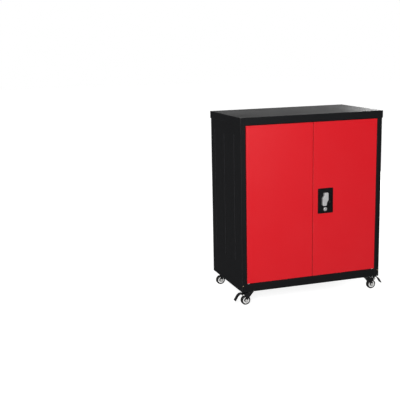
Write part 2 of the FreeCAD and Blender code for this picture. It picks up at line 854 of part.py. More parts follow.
def lock_case():
    """Bridge over the driver and the rods, screwed to the back of the lock plate."""
    near = plate_rear + half_sheet
    far = case_rear - half_sheet
    path = [(plate_x - case_half_width - case_foot, near), (plate_x - case_half_width, near),
            (plate_x - case_half_width, far), (plate_x + case_half_width, far),
            (plate_x + case_half_width, near), (plate_x + case_half_width + case_foot, near)]
    bridge = folded(path, "xy", lever_level - case_half_height, lever_level + case_half_height)
    holes = []
    for x, z in lock_screw_points():
        holes.append(cylinder(screw_radius, V(x, plate_rear, z), V(x, plate_rear + sheet, z)))
    return bridge.cut(holes)


def lock_screws():
    screws = []
    for x, z in lock_screw_points():
        screws.append(pan_head_screw(V(x, plate_rear + sheet, z), V(0, -1, 0), screw_length,
                                     screw_radius, screw_head_radius, screw_head))
    return Part.makeCompound(screws)


def lock_lever():
    """S-shaped turn lever with its round hub and square spindle."""
    half = [(-lever_near, lever_half_length), (lever_far, lever_half_length),
            (lever_far, -lever_shoulder), (lever_near, -lever_waist)]
    points = [(plate_x + x, lever_level + z) for x, z in half]
    points += [(plate_x - x, lever_level - z) for x, z in half]
    radii = [lever_corner, lever_corner, lever_blend, lever_blend] * 2
    face = front - lever_reach
    foot = front + dish_depth - lever_lift
    grip = prism(points, radii, "xz", face, foot)
    grip = grip.makeFillet(lever_edge, front_edges(grip, face))
    hub = cylinder(hub_radius, V(plate_x, foot, lever_level), V(plate_x, driver_front, lever_level))
    return joined(grip, [hub, spindle_square()])


def spindle_square():
    """Square end of the lever's spindle, in the thickness of the driver."""
    half = spindle_size / 2
    return box(plate_x - half, plate_x + half, driver_front, driver_rear,
               lever_level - half, lever_level + half)


def lock_driver():
    """Disc on the spindle with the two pins that throw the rods."""
    disc = cylinder(driver_radius, V(plate_x, driver_front, lever_level),
                    V(plate_x, driver_rear, lever_level))
    pins = []
    for sign in (-1, 1):
        x = plate_x + sign * drive_offset
        z = lever_level - sign * drive_offset
        pins.append(cylinder(drive_pin_radius, V(x, driver_rear, z), V(x, pin_end, z)))
    return joined(disc.cut(spindle_square()), pins)


def locking_rod(sign):
    """Flat rod with a slotted plate beside the axis: sign 1 is the upper rod, -1 the lower one."""
    near = rod_plate_gap
    slot_near = drive_offset - drive_pin_radius - pin_slot_fit
    slot_far = drive_circle + drive_pin_radius + pin_slot_fit
    far = slot_far + rod_plate_wall
    pin_level = -drive_offset
    slot_half = drive_pin_radius + pin_slot_fit
    low = pin_level - slot_half - rod_plate_wall
    head = rod_plate_gap - low
    tip = door_high - rod_end_gap - lever_level if sign > 0 else lever_level - door_low - rod_end_gap
    half = rod_width / 2
    points = [(near, low), (far, low), (far, head), (half, head + far - half), (half, tip),
              (-half, tip), (-half, head), (near, head)]
    radii = [sheet, sheet, sheet, sheet, sheet, sheet, 0.0, 0.0]
    in_place = [(plate_x + sign * x, lever_level + sign * z) for x, z in points]
    blade = prism(in_place, radii, "xz", rod_front, rod_rear)
    slot_middle = (slot_near + slot_far) / 2
    slot = plate_prism((slot_far - slot_near) / 2, slot_half, slot_half, "xz", rod_front, rod_rear,
                       plate_x + sign * slot_middle, lever_level + sign * pin_level)
    return blade.cut(slot)


def rod_guides():
    """Straps on the door's upper and lower lips that guide the rods."""
    half = rod_width / 2 + guide_fit + guide_sheet / 2
    near = door_rear + guide_sheet / 2
    far = rod_rear + guide_fit + guide_sheet / 2
    path = [(plate_x - half - guide_foot, near), (plate_x - half, near), (plate_x - half, far),
            (plate_x + half, far), (plate_x + half, near), (plate_x + half + guide_foot, near)]
    low = door_low + (door_lip - guide_length) / 2
    strap = folded(path, "xy", low, low + guide_length, guide_sheet)
    return upper_too(strap)


def lock_barrel():
    """Housing of the key lock, with a round rim in the recess of the plate."""
    seat = front + plate_recess
    rim = cylinder(barrel_rim_radius, V(plate_x, seat - barrel_rim, key_level), V(plate_x, seat, key_level))
    rim = rim.makeFillet(sheet, front_edges(rim, seat - barrel_rim))
    body = cylinder(barrel_radius, V(plate_x, seat, key_level), V(plate_x, plate_rear + sheet, key_level))
    bore = cylinder(plug_radius + running_fit, V(plate_x, seat - barrel_rim, key_level),
                    V(plate_x, plate_rear + sheet, key_level))
    return joined(rim, [body]).cut(bore)


def key_plug():
    """Turning plug with its keyway and tail."""
    face = front + plate_recess - barrel_rim - plug_proud
    plug = cylinder(plug_radius, V(plate_x, face, key_level), V(plate_x, tail_front, key_level))
    keyway = box(plate_x - keyway_width / 2, plate_x + keyway_width / 2, face, face + keyway_depth,
                 key_level - keyway_height / 2, key_level + keyway_height / 2)
    half = tail_width / 2
    tail = prism([(plate_x - half, key_level - tail_length), (plate_x + half, key_level - tail_length),
                  (plate_x + half, key_level + half), (plate_x - half, key_level + half)],
                 [half, half, sheet, sheet], "xz", tail_front, tail_front + tail_thickness)
    return joined(plug.cut(keyway), [tail])


# Casters, set out about the swivel axis with the wheel towards +X and the underside of the carcass at zero

def caster_stem():
    """Fixed stem: threaded shank, flange and the riveted pin that the fork turns on."""
    flange_low = -kingpin_flange_height
    rivet_top = head_top - fork_sheet - swivel_play
    shank = cylinder(stem_radius, V(0, 0, 0), V(0, 0, stem_reach))
    flange = cylinder(kingpin_flange, V(0, 0, flange_low), V(0, 0, 0))
    pin = cylinder(kingpin_radius, V(0, 0, rivet_top), V(0, 0, flange_low))
    rivet = cylinder(kingpin_rivet_radius, V(0, 0, rivet_top - kingpin_rivet), V(0, 0, rivet_top))
    return joined(shank, [flange, pin, rivet])


def fork_head():
    """Bell-shaped head of the fork, hollow below."""
    low = head_top - head_height
    bore = kingpin_radius + running_fit
    inner = head_radius - fork_sheet
    points = [(bore, head_top), (head_radius, head_top), (head_radius, low), (inner, low),
              (inner, head_top - fork_sheet), (bore, head_top - fork_sheet)]
    radii = [0.0, head_bend, 0.0, 0.0, head_bend - fork_sheet, 0.0]
    return revolved(points, radii, "xz", V(0, 0, 0), V(0, 0, 1))


def fork_leg(y0, y1):
    """Leg from the head down to the axle."""
    top = head_top - head_bend / 2
    low = -axle_drop - fork_eye
    knee = -axle_drop + fork_eye / 2
    root = head_radius - fork_sheet / 2
    root_half = math.sqrt(root * root - leg_outer * leg_outer)
    points = [(-root_half, top), (root_half, top), (caster_trail + fork_eye, knee),
              (caster_trail + fork_eye, low), (caster_trail - fork_eye, low),
              (caster_trail - fork_eye, knee), (-root_half, head_top - head_height)]
    radii = [0.0, 0.0, fork_eye, fork_eye, fork_eye, fork_eye, fork_sheet]
    return prism(points, radii, "xz", y0, y1)


def pedal_ear_plate(y0, y1):
    """Ear of a leg that carries the pedal's pin."""
    top = head_top - head_bend / 2
    upper = pedal_level + pedal_ear
    lower = pedal_level - pedal_ear
    points = [(0.0, top), (pedal_x, upper), (pedal_x + pedal_ear, upper), (pedal_x + pedal_ear, lower),
              (pedal_x - pedal_ear, lower), (0.0, pedal_level)]
    radii = [0.0, 0.0, pedal_ear, pedal_ear, pedal_ear_corner, 0.0]
    return prism(points, radii, "xz", y0, y1)


def fork(braked):
    legs = [fork_leg(leg_inner, leg_outer), fork_leg(-leg_outer, -leg_inner)]
    if braked:
        legs += [pedal_ear_plate(leg_inner, leg_outer), pedal_ear_plate(-leg_outer, -leg_inner)]
    body = joined(fork_head(), legs)
    tools = [crosswise(axle_radius, leg_outer, caster_trail, -axle_drop)]
    if braked:
        tools.append(crosswise(pedal_pin_radius, leg_outer, pedal_x, pedal_level))
    return body.cut(tools)


def crosswise(radius, reach, x, z):
    """Round bar across a caster, as long to the left as to the right."""
    return cylinder(radius, V(x, -reach, z), V(x, reach, z))


def caster_bolts(braked):
    """Axle bolt with its nut and, on a braked caster, the rivet that the pedal turns on."""
    shank = crosswise(axle_radius, leg_outer + axle_head, caster_trail, -axle_drop)
    ends = []
    for near, far in ((-leg_outer - axle_head, -leg_outer), (leg_outer, leg_outer + axle_head)):
        ends.append(hexagon(axle_flats, "xz", near, far, caster_trail, -axle_drop))
    solids = [joined(shank, ends)]
    if braked:
        rivet = crosswise(pedal_pin_radius, leg_outer, pedal_x, pedal_level)
        caps = crosswise(2 * pedal_pin_radius, leg_outer + sheet, pedal_x, pedal_level)
        caps = caps.cut(crosswise(2 * pedal_pin_radius, leg_outer, pedal_x, pedal_level))
        solids.append(joined(rivet, caps.Solids))
    return Part.makeCompound(solids)


def tyre():
    half = wheel_width / 2
    low = hub_outer - axle_drop
    high = wheel_radius - axle_drop
    body = revolved([(-half, low), (-half, high), (half, high), (half, low)],
                    [0.0, tyre_shoulder, tyre_shoulder, 0.0], "yz", V(0, 0, -axle_drop), V(0, 1, 0))
    body.translate(V(caster_trail, 0, 0))
    return body


def wheel_hub():
    """Rim, dished web and centre boss."""
    half = wheel_width / 2
    boss_half = leg_inner - side_play
    bore = axle_radius + running_fit
    boss = bore + hub_boss_wall
    rim = hub_outer - hub_rim
    web = half - hub_dish
    profile = [(bore, boss_half), (boss, boss_half), (boss, web), (rim, web), (rim, half), (hub_outer, half)]
    radii = [0.0, 0.0, hub_dish / 2, hub_dish / 2, 0.0, 0.0]
    points = [(y, r - axle_drop) for r, y in profile]
    points += [(-y, r - axle_drop) for r, y in profile[::-1]]
    body = revolved(points, radii + radii[::-1], "yz", V(0, 0, -axle_drop), V(0, 1, 0))
    body.translate(V(caster_trail, 0, 0))
    return body


def brake_pedal():
    """Ribbed foot lever with its pivot tube and the shoe that meets the tyre."""
    half = pedal_width / 2
    path = [(pedal_x, pedal_level + pedal_hub_radius - pedal_sheet / 2),
            (pedal_x + pedal_heel_reach, pedal_level + pedal_heel_rise),
            (pedal_x + pedal_belly_reach, pedal_level - pedal_belly_drop),
            (pedal_x + pedal_tip_reach, pedal_level - pedal_tip_drop)]
    blade = folded(path, "xz", -half, half, pedal_sheet, pedal_bend)
    along = unit(path[1], path[2])
    pad_edge = (path[1][0] + along[0] * pedal_pad_gap, path[1][1] + along[1] * pedal_pad_gap)
    pad_path = [pad_edge, path[2], path[3]]
    pad = folded(pad_path, "xz", -pedal_pad_width / 2, pedal_pad_width / 2, pedal_sheet, pedal_bend)
    ribs = []
    for i in range(pedal_rib_count):
        centre = (i - (pedal_rib_count - 1) / 2) * pedal_rib_pitch
        ribs.append(folded(pad_path, "xz", centre - pedal_rib / 2, centre + pedal_rib / 2,
                           pedal_sheet + 2 * pedal_rib_rise, pedal_bend))
    reach = leg_inner - side_play
    tube = crosswise(pedal_hub_radius, reach, pedal_x, pedal_level)
    pivot = (pedal_x, pedal_level)
    axle = (caster_trail, -axle_drop)
    inward = unit(pivot, axle)
    length = math.hypot(axle[0] - pivot[0], axle[1] - pivot[1]) - wheel_radius - shoe_gap
    end = (pivot[0] + inward[0] * length, pivot[1] + inward[1] * length)
    shoe = folded([pivot, end], "xz", -half, half, pedal_hub_radius, 0.0)
    bore = crosswise(pedal_pin_radius + running_fit, reach, pedal_x, pedal_level)
    return joined(blade, [pad, tube, shoe] + ribs).cut(bore)


def placed(shape, side_sign, end_sign):
    """A caster piece at its corner: side_sign 1 is the right, end_sign -1 the front."""
    x = side - caster_side_inset
    y = front + caster_end_inset if end_sign < 0 else back - caster_end_inset
    at_right = shape.copy()
    at_right.translate(V(x, y, base))
    return at_right if side_sign > 0 else across(at_right)


corners = {"front_left": (-1, -1), "front_right": (1, -1), "rear_left": (-1, 1), "rear_right": (1, 1)}


def caster_stems():
    return Part.makeCompound([placed(caster_stem(), *signs) for signs in corners.values()])


def caster_nuts():
    low = bearer_sheet
    nut = hexagon(nut_flats, "xy", low, low + nut_height)
    nut = nut.cut(cylinder(stem_radius, V(0, 0, low), V(0, 0, low + nut_height)))
    return Part.makeCompound([placed(nut, *signs) for signs in corners.values()])


def carcass_pieces():
    left_front = shelf_strip(front + strip_front)
    left_rear = shelf_strip(back - strip_rear)
    return {"left_side_panel": side_panel(), "right_side_panel": across(side_panel()),
            "back_panel": back_panel(), "top_cap": top_cap(), "bottom_panel": bottom_panel(),
            "head_rail": head_rail(),
            "left_caster_bearer": across(caster_bearer()), "right_caster_bearer": caster_bearer(),
            "front_left_shelf_strip": left_front, "front_right_shelf_strip": across(left_front),
            "rear_left_shelf_strip": left_rear, "rear_right_shelf_strip": across(left_rear),
            "lower_shelf": shelf(lower_shelf_slot_count), "upper_shelf": shelf(upper_shelf_slot_count),
            "shelf_clips": shelf_clips(), "carcass_screws": carcass_screws(),
            "pivot_washers": pivot_washers(),
            "left_magnet_catch": across(magnet_catch()), "right_magnet_catch": magnet_catch(),
            "caster_stems": caster_stems(), "caster_nuts": caster_nuts()}


def door_pieces():
    return {"left_door_panel": door_panel(), "right_door_panel": right_door_panel(),
            "left_door_stiffener": door_stiffener(), "right_door_stiffener": across(door_stiffener()),
            "left_hinge_brackets": hinge_brackets(), "right_hinge_brackets": across(hinge_brackets()),
            "left_pivot_pins": pivot_pins(), "right_pivot_pins": across(pivot_pins()),
            "left_strike": strike(), "right_strike": across(strike())}


def lock_pieces():
    return {"lock_escutcheon": lock_escutcheon(), "lock_case": lock_case(), "lock_screws": lock_screws(),
            "rod_guides": rod_guides(), "lock_barrel": lock_barrel(), "lock_lever": lock_lever(),
            "lock_driver": lock_driver(), "key_plug": key_plug(),
            "upper_rod": locking_rod(1), "lower_rod": locking_rod(-1)}


def caster_pieces():
    pieces = {}
    for name, signs in corners.items():
        braked = signs[1] < 0
        pieces[name + "_fork"] = placed(fork(braked), *signs)
        pieces[name + "_bolts"] = placed(caster_bolts(braked), *signs)
        pieces[name + "_tyre"] = placed(tyre(), *signs)
        pieces[name + "_hub"] = placed(wheel_hub(), *signs)
        if braked:
            pieces[name + "_brake_pedal"] = placed(brake_pedal(), *signs)
    return pieces


os.makedirs("parts", exist_ok=True)
for make in (carcass_pieces, door_pieces, lock_pieces, caster_pieces):
    for node, shape in make().items():
        shape.exportStep("parts/" + node + ".step")
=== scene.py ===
"""Finishes, small hardware and studio of a two-door tool cabinet on casters."""

import json
import math

import bmesh
import bpy
from bpy.props import FloatProperty, FloatVectorProperty, IntProperty, PointerProperty
from bpy.types import Operator, Panel, PropertyGroup
from mathutils import Matrix, Vector

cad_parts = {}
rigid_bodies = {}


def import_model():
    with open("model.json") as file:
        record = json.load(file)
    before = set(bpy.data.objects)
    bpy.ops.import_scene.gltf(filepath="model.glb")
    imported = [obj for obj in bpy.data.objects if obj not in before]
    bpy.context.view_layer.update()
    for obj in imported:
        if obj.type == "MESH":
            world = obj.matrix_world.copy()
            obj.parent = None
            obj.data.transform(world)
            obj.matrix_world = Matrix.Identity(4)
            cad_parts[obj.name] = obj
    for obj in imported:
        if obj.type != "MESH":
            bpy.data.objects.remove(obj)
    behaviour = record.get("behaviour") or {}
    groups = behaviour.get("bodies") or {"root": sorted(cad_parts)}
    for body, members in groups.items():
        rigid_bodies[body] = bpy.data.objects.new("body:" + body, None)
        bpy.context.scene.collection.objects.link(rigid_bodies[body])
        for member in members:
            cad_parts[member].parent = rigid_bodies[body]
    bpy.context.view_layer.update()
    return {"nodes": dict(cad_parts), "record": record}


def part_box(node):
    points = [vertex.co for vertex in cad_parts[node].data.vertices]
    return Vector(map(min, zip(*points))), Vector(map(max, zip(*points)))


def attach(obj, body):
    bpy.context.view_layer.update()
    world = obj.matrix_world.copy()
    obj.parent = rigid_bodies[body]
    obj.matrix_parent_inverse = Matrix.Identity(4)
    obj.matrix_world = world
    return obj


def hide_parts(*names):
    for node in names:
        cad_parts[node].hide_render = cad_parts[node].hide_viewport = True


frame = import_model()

bl_info = {
    "name": "Two-door tool cabinet",
    "version": (1, 0, 0),
    "blender": (4, 5, 0),
    "location": "View3D > Sidebar > Cabinet",
    "description": "Finishes, small hardware and studio of a two-door tool cabinet on casters",
    "category": "Object",
}

carcass_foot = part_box("left_side_panel")[0].z
fork_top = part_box("front_left_fork")[1].z
nodes = frame["nodes"]
slot_of = {row["node"]: row["material_slot"] for row in frame["record"]["subparts"]}
MM = 0.001
UP = Vector((0.0, 0.0, 1.0))
WHITE = (1.0, 1.0, 1.0, 1.0)
RUNNING_GAP = 0.05 * MM              # between the balls of a caster and what they roll on


class NodeTree:
    """A tree of nodes, which grows by short calls."""

    def __init__(self, tree):
        self.tree = tree

    def add(self, kind, inputs=None, **settings):
        """Adds a node with its settings, and links or sets each input by its name or number."""
        made = self.tree.nodes.new(kind)
        for name, value in settings.items():
            setattr(made, name, value)
        for key, value in (inputs or {}).items():
            if isinstance(value, bpy.types.NodeSocket):
                self.tree.links.new(value, made.inputs[key])
            else:
                made.inputs[key].default_value = value
        return made


# Finishes

HUB_SHADE_RING = (7.0 * MM, 10.4 * MM)     # inner and outer radius of the ring of painted shade in a hub's recess
EDGE_BLUR = 0.2 * MM                 # softness of a painted edge
PALE_UP_TO, SHADED_FROM = 0.4, 0.6             # washers are pale up to the first height, and darkened by painted shade from the second
NOISE_SPAN = (0.3, 0.7)              # most of a noise lies between these
FLAT, FOLDED = 0.97, 0.8             # largest part of a normal on a flat face, and on a fold


class Finish(NodeTree):
    """One procedural material on the piece's own coordinates."""

    def __init__(self, name, colour, roughness, metallic=0.0, specular=0.5):
        self.material = bpy.data.materials.new("finish_" + name)
        self.material.use_nodes = True
        super().__init__(self.material.node_tree)
        self.shader = self.tree.nodes["Principled BSDF"]
        self.set("Base Color", (*colour, 1.0))
        self.set("Roughness", roughness)
        self.set("Metallic", metallic)
        self.set("Specular IOR Level", specular)
        self.place = self.add("ShaderNodeTexCoord")
        self.height = None

    def set(self, socket, value):
        self.shader.inputs[socket].default_value = value

    def noise(self, size, detail=2.0, tall=1.0, distortion=0.0):
        """Noise whose features are about size metres across, and tall times as high."""
        mapping = self.add("ShaderNodeMapping", {"Vector": self.place.outputs["Object"],
                                                 "Scale": (1.0, 1.0, 1.0 / tall)})
        made = self.add("ShaderNodeTexNoise", {"Vector": mapping.outputs["Vector"],
                                               "Scale": 1.0 / size, "Detail": detail,
                                               "Distortion": distortion})
        return made.outputs["Fac"]

    def cells(self, size):
        """Distance to the middle of grains about size metres across."""
        made = self.add("ShaderNodeTexVoronoi", {"Vector": self.place.outputs["Object"],
                                                 "Scale": 1.0 / size})
        return made.outputs["Distance"]

    def remap(self, value, low, high, to_low=0.0, to_high=1.0):
        """The value with low to high made to_low to to_high, and held between these."""
        made = self.add("ShaderNodeMapRange", {"Value": value, "From Min": low, "From Max": high,
                                               "To Min": to_low, "To Max": to_high}, clamp=True)
        return made.outputs["Result"]

    def maths(self, operation, first, second=0.0):
        made = self.add("ShaderNodeMath", {0: first, 1: second}, operation=operation)
        return made.outputs["Value"]

    def blend(self, first, second, share):
        """Sum of two values, of which the second has the given share."""
        return self.maths("ADD", self.maths("MULTIPLY", first, 1.0 - share),
                          self.maths("MULTIPLY", second, share))

    def tint(self, factor, colour):
        """Colours the surface towards another colour where the factor is high."""
        under = self.shader.inputs["Base Color"]
        first = under.links[0].from_socket if under.links else tuple(under.default_value)
        made = self.add("ShaderNodeMix", {0: factor, 6: first, 7: (*colour, 1.0)}, data_type="RGBA")
        self.tree.links.new(made.outputs[2], under)

    def tint_patches(self, value, low, high, most, colour):
        """Tints the surface, by at most the given share, as the value passes from low to high."""
        self.tint(self.remap(value, low, high, 0.0, most), colour)

    def vary_roughness(self, value, low, high):
        """Spreads the roughness from low to high over a noise."""
        rough = self.remap(value, *NOISE_SPAN, low, high)
        self.tree.links.new(rough, self.shader.inputs["Roughness"])

    def relief(self, value, depth):
        """Adds a height of depth metres to the surface's bump."""
        raised = self.maths("MULTIPLY", value, depth)
        self.height = raised if self.height is None else self.maths("ADD", self.height, raised)

    def folds(self):
        """1 on rounded folds and corners, 0 on faces that lie along an axis of the piece."""
        parts = self.add("ShaderNodeSeparateXYZ", {0: self.place.outputs["Normal"]}).outputs
        largest = self.maths("ABSOLUTE", parts[0])
        for part in (parts[1], parts[2]):
            largest = self.maths("MAXIMUM", largest, self.maths("ABSOLUTE", part))
        return self.remap(largest, FLAT, FOLDED)

    def done(self):
        """The material, with its bump where it has any."""
        if self.height is not None:
            bump = self.add("ShaderNodeBump", {"Height": self.height, "Distance": 1.0,
                                               "Strength": 1.0})
            self.tree.links.new(bump.outputs["Normal"], self.shader.inputs["Normal"])
        return self.material


def powder_coat(name, colour, worn_and_highlight, roughness, spread, specular, peel):
    """Baked powder: orange peel, a fine speckle, a little dust, and a paler coat along the folds
    that is partly thin coat and wear, partly a painted highlight of the rounded edges.
    """
    coat = Finish(name, colour, roughness, specular=specular)
    coat.set("IOR", 1.45)
    cloud = coat.noise(180.0 * MM, detail=3.0)
    coat.tint_patches(cloud, 0.35, 0.75, 0.025, worn_and_highlight)
    speckle = coat.noise(0.9 * MM, detail=1.0)
    coat.tint_patches(speckle, 0.62, 0.74, 0.15, worn_and_highlight)
    # paler tint on the folds: partly thin coat and wear, partly a painted highlight of the rounded
    # edges
    rubbed_and_highlit = coat.maths("MULTIPLY", coat.folds(),
                        coat.remap(coat.noise(12.0 * MM, detail=4.0), 0.35, 0.65, 0.3, 0.9))
    coat.tint(rubbed_and_highlit, worn_and_highlight)
    scuffs = coat.noise(4.0 * MM, detail=3.0, tall=9.0, distortion=0.6)
    coat.vary_roughness(coat.blend(scuffs, cloud, 0.6), roughness - spread, roughness + spread)
    coat.relief(coat.noise(2.2 * MM), peel)
    coat.relief(speckle, peel * 0.25)
    return coat.done()


def plated_steel(name, colour, tarnish, roughness, crystal, metallic=0.85):
    """Zinc or nickel plating: faint crystals, dull patches and fine drawing lines."""
    plate = Finish(name, colour, roughness, metallic=metallic)
    dull = plate.noise(crystal * 6.0, detail=4.0)
    plate.tint_patches(dull, 0.4, 0.7, 0.6, tarnish)
    lines = plate.noise(0.6 * MM, tall=30.0)
    plate.vary_roughness(plate.blend(dull, lines, 0.5), roughness - 0.1, roughness + 0.14)
    plate.relief(plate.cells(crystal), 0.015 * MM)
    plate.relief(lines, 0.01 * MM)
    return plate.done()


def moulding(name, colour, pale, roughness, grain, depth, specular=0.4):
    """Moulded plastic: a spark-eroded grain, with paler handling along raised edges."""
    shell = Finish(name, colour, roughness, specular=specular)
    handled = shell.maths("MULTIPLY", shell.folds(),
                          shell.remap(shell.noise(6.0 * MM, detail=3.0), 0.4, 0.7, 0.05, 0.5))
    shell.tint(handled, pale)
    shell.tint_patches(shell.noise(30.0 * MM, detail=3.0), 0.4, 0.75, 0.18, pale)
    shell.vary_roughness(shell.noise(10.0 * MM, detail=3.0), roughness - 0.06, roughness + 0.1)
    shell.relief(shell.cells(grain), depth)
    shell.relief(shell.noise(grain * 3.0), depth)
    return shell.done()


def satin_nickel(name, colour, roughness):
    """Die-cast lever, brushed along its length, with darker patches."""
    metal = Finish(name, colour, roughness, metallic=0.6)
    brushing = metal.noise(0.45 * MM, detail=3.0, tall=45.0)
    metal.tint_patches(brushing, 0.35, 0.7, 0.3, (0.36, 0.36, 0.37))
    metal.tint_patches(metal.noise(10.0 * MM, detail=3.0), 0.5, 0.8, 0.3, (0.5, 0.5, 0.48))
    metal.vary_roughness(metal.noise(8.0 * MM, detail=3.0), roughness - 0.08, roughness + 0.1)
    metal.relief(brushing, 0.03 * MM)
    return metal.done()


def bright_nickel(name, colour):
    """Bright plating of the key lock, dulled in small patches by the key."""
    metal = Finish(name, colour, roughness=0.16, metallic=0.7)
    metal.tint_patches(metal.noise(4.0 * MM, detail=4.0), 0.45, 0.75, 0.35, (0.3, 0.3, 0.3))
    metal.vary_roughness(metal.noise(3.0 * MM, detail=4.0), 0.1, 0.3)
    metal.relief(metal.noise(0.8 * MM), 0.008 * MM)
    return metal.done()


def bright_moulding(name, colour, axle):
    """Pale, glossy wheel centre, with a dark ring of painted shade in the recess round its boss,
    and a little dust of the floor.
    """
    hub = Finish(name, colour, roughness=0.25, specular=0.6)
    across = hub.add("ShaderNodeMapping", {"Vector": hub.place.outputs["Object"],
                                           "Location": (-axle.x, 0.0, -axle.z),
                                           "Scale": (1.0, 0.0, 1.0)})
    radius = hub.add("ShaderNodeVectorMath", {0: across.outputs["Vector"]},
                     operation="LENGTH").outputs["Value"]
    inner, outer = HUB_SHADE_RING
    ring = hub.maths("MULTIPLY", hub.remap(radius, inner, inner + EDGE_BLUR),
                     hub.remap(radius, outer, outer - EDGE_BLUR))
    hub.tint_patches(hub.noise(7.0 * MM, detail=4.0), 0.45, 0.8, 0.45, (0.3, 0.29, 0.27))
    # painted shade: the recess round the boss is made near black
    hub.tint(ring, (0.012, 0.012, 0.013))
    hub.vary_roughness(hub.noise(4.0 * MM, detail=3.0), 0.2, 0.38)
    hub.relief(hub.noise(1.0 * MM), 0.01 * MM)
    return hub.done()


def tread_rubber(name, colour, dust):
    """Dull wheel tread with dust of the floor on it."""
    rubber = Finish(name, colour, roughness=0.6, specular=0.3)
    rubber.tint_patches(rubber.noise(9.0 * MM, detail=4.0), 0.45, 0.75, 0.5, dust)
    rubber.vary_roughness(rubber.noise(5.0 * MM, detail=3.0), 0.5, 0.75)
    rubber.relief(rubber.noise(1.2 * MM, detail=3.0), 0.06 * MM)
    return rubber.done()


def nylon(name, colour, shaded_upper_colour):
    """Natural nylon of the washers, with painted shade that makes the upper ones near black, and a
    faint flow.
    """
    washer = Finish(name, colour, roughness=0.42, specular=0.4)
    washer.set("Subsurface Weight", 0.3)
    washer.set("Subsurface Radius", (1.2 * MM, 1.0 * MM, 0.8 * MM))
    flow = washer.noise(6.0 * MM, detail=3.0, tall=4.0)
    washer.tint_patches(flow, 0.4, 0.7, 0.3, (0.7, 0.68, 0.6))
    height = washer.add("ShaderNodeSeparateXYZ", {0: washer.place.outputs["Object"]}).outputs[2]
    # painted shade: washers above the second height are tinted near black
    washer.tint(washer.remap(height, PALE_UP_TO, SHADED_FROM), shaded_upper_colour)
    washer.vary_roughness(washer.noise(2.0 * MM), 0.36, 0.5)
    washer.relief(washer.noise(0.6 * MM), 0.01 * MM)
    return washer.done()


# What makes the finish of each of the record's material slots, apart from the hubs'
MAKERS = {
    "black_powder_coat": lambda slot, colours: powder_coat(
        slot, colours.carcass, colours.carcass_worn_and_highlight,
        roughness=0.47, spread=0.05, specular=0.2, peel=0.06 * MM),
    "red_powder_coat": lambda slot, colours: powder_coat(
        slot, colours.door, colours.door_worn_and_highlight,
        roughness=0.31, spread=0.015, specular=0.32, peel=0.04 * MM),
    "zinc_plate": lambda slot, colours: plated_steel(
        slot, colours.zinc, tarnish=(0.38, 0.38, 0.37), roughness=0.34, crystal=2.0 * MM),
    "bronzed_screw": lambda slot, colours: plated_steel(
        slot, (0.40, 0.31, 0.20), tarnish=(0.22, 0.17, 0.12), roughness=0.36, crystal=1.0 * MM),
    "bolt_bright": lambda slot, colours: plated_steel(
        slot, (0.88, 0.88, 0.86), tarnish=(0.6, 0.6, 0.6), roughness=0.24, crystal=1.5 * MM,
        metallic=0.55),
    "white_nylon": lambda slot, colours: nylon(
        slot, (0.86, 0.84, 0.79), shaded_upper_colour=(0.01, 0.01, 0.011)),
    "catch_plastic": lambda slot, colours: moulding(
        slot, (0.02, 0.02, 0.022), pale=(0.06, 0.06, 0.06),
        roughness=0.45, grain=0.4 * MM, depth=0.02 * MM),
    "lock_black": lambda slot, colours: moulding(
        slot, colours.lock_plate, pale=(0.02, 0.02, 0.022),
        roughness=0.4, grain=0.5 * MM, depth=0.02 * MM, specular=0.2),
    "pedal_black": lambda slot, colours: moulding(
        slot, (0.006, 0.006, 0.007), pale=(0.05, 0.05, 0.05),
        roughness=0.4, grain=0.6 * MM, depth=0.03 * MM),
    "lever_satin": lambda slot, colours: satin_nickel(slot, colours.lever, roughness=0.4),
    "lock_chrome": lambda slot, colours: bright_nickel(slot, (0.8, 0.79, 0.79)),
    "caster_black": lambda slot, colours: powder_coat(
        slot, (0.006, 0.006, 0.007), (0.06, 0.06, 0.06),
        roughness=0.25, spread=0.05, specular=0.6, peel=0.03 * MM),
    "tyre_black": lambda slot, colours: tread_rubber(
        slot, (0.007, 0.007, 0.007), dust=(0.05, 0.048, 0.045)),
}
finishes = {}


def make_finish(slot, colours):
    """The finish of a material slot, made once and kept for the slot's other pieces."""
    if slot not in finishes:
        finishes[slot] = MAKERS[slot](slot, colours)
    return finishes[slot]


def hub_finish(name, colours):
    """The finish of one hub, whose ring of painted shade is centred on that hub's axle."""
    low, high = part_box(name)
    return bright_moulding(name, colours.hub, (low + high) / 2)


def dress(slots, colours):
    """Gives each CAD node of the slots its finish."""
    for slot in slots:
        names = [name for name in nodes if slot_of[name] == slot]
        if not names:
            raise RuntimeError("no piece has the finish " + slot)
        for name in names:
            piece = nodes[name]
            own = slot == "hub_bright"
            made = hub_finish(name, colours) if own else make_finish(slot, colours)
            piece.data.materials.clear()
            piece.data.materials.append(made)


# Meshes made in the script

AXIS_RADIUS = 0.0001 * MM            # within this a point is on the axis
ONE_POINT = 0.001 * MM               # points closer than this are one point
SLIVER = 0.01 * MM                   # shortest edge left after a cut
SHARP_FOLD = math.radians(35.0)      # faces that meet at more than this keep a sharp edge


def put(name, data):
    """A new object of the scene."""
    made = bpy.data.objects.new(name, data)
    bpy.context.scene.collection.objects.link(made)
    return made


def to_object(made, name):
    """Turns a finished bmesh into an object."""
    mesh = bpy.data.meshes.new(name)
    made.to_mesh(mesh)
    made.free()
    return put(name, mesh)


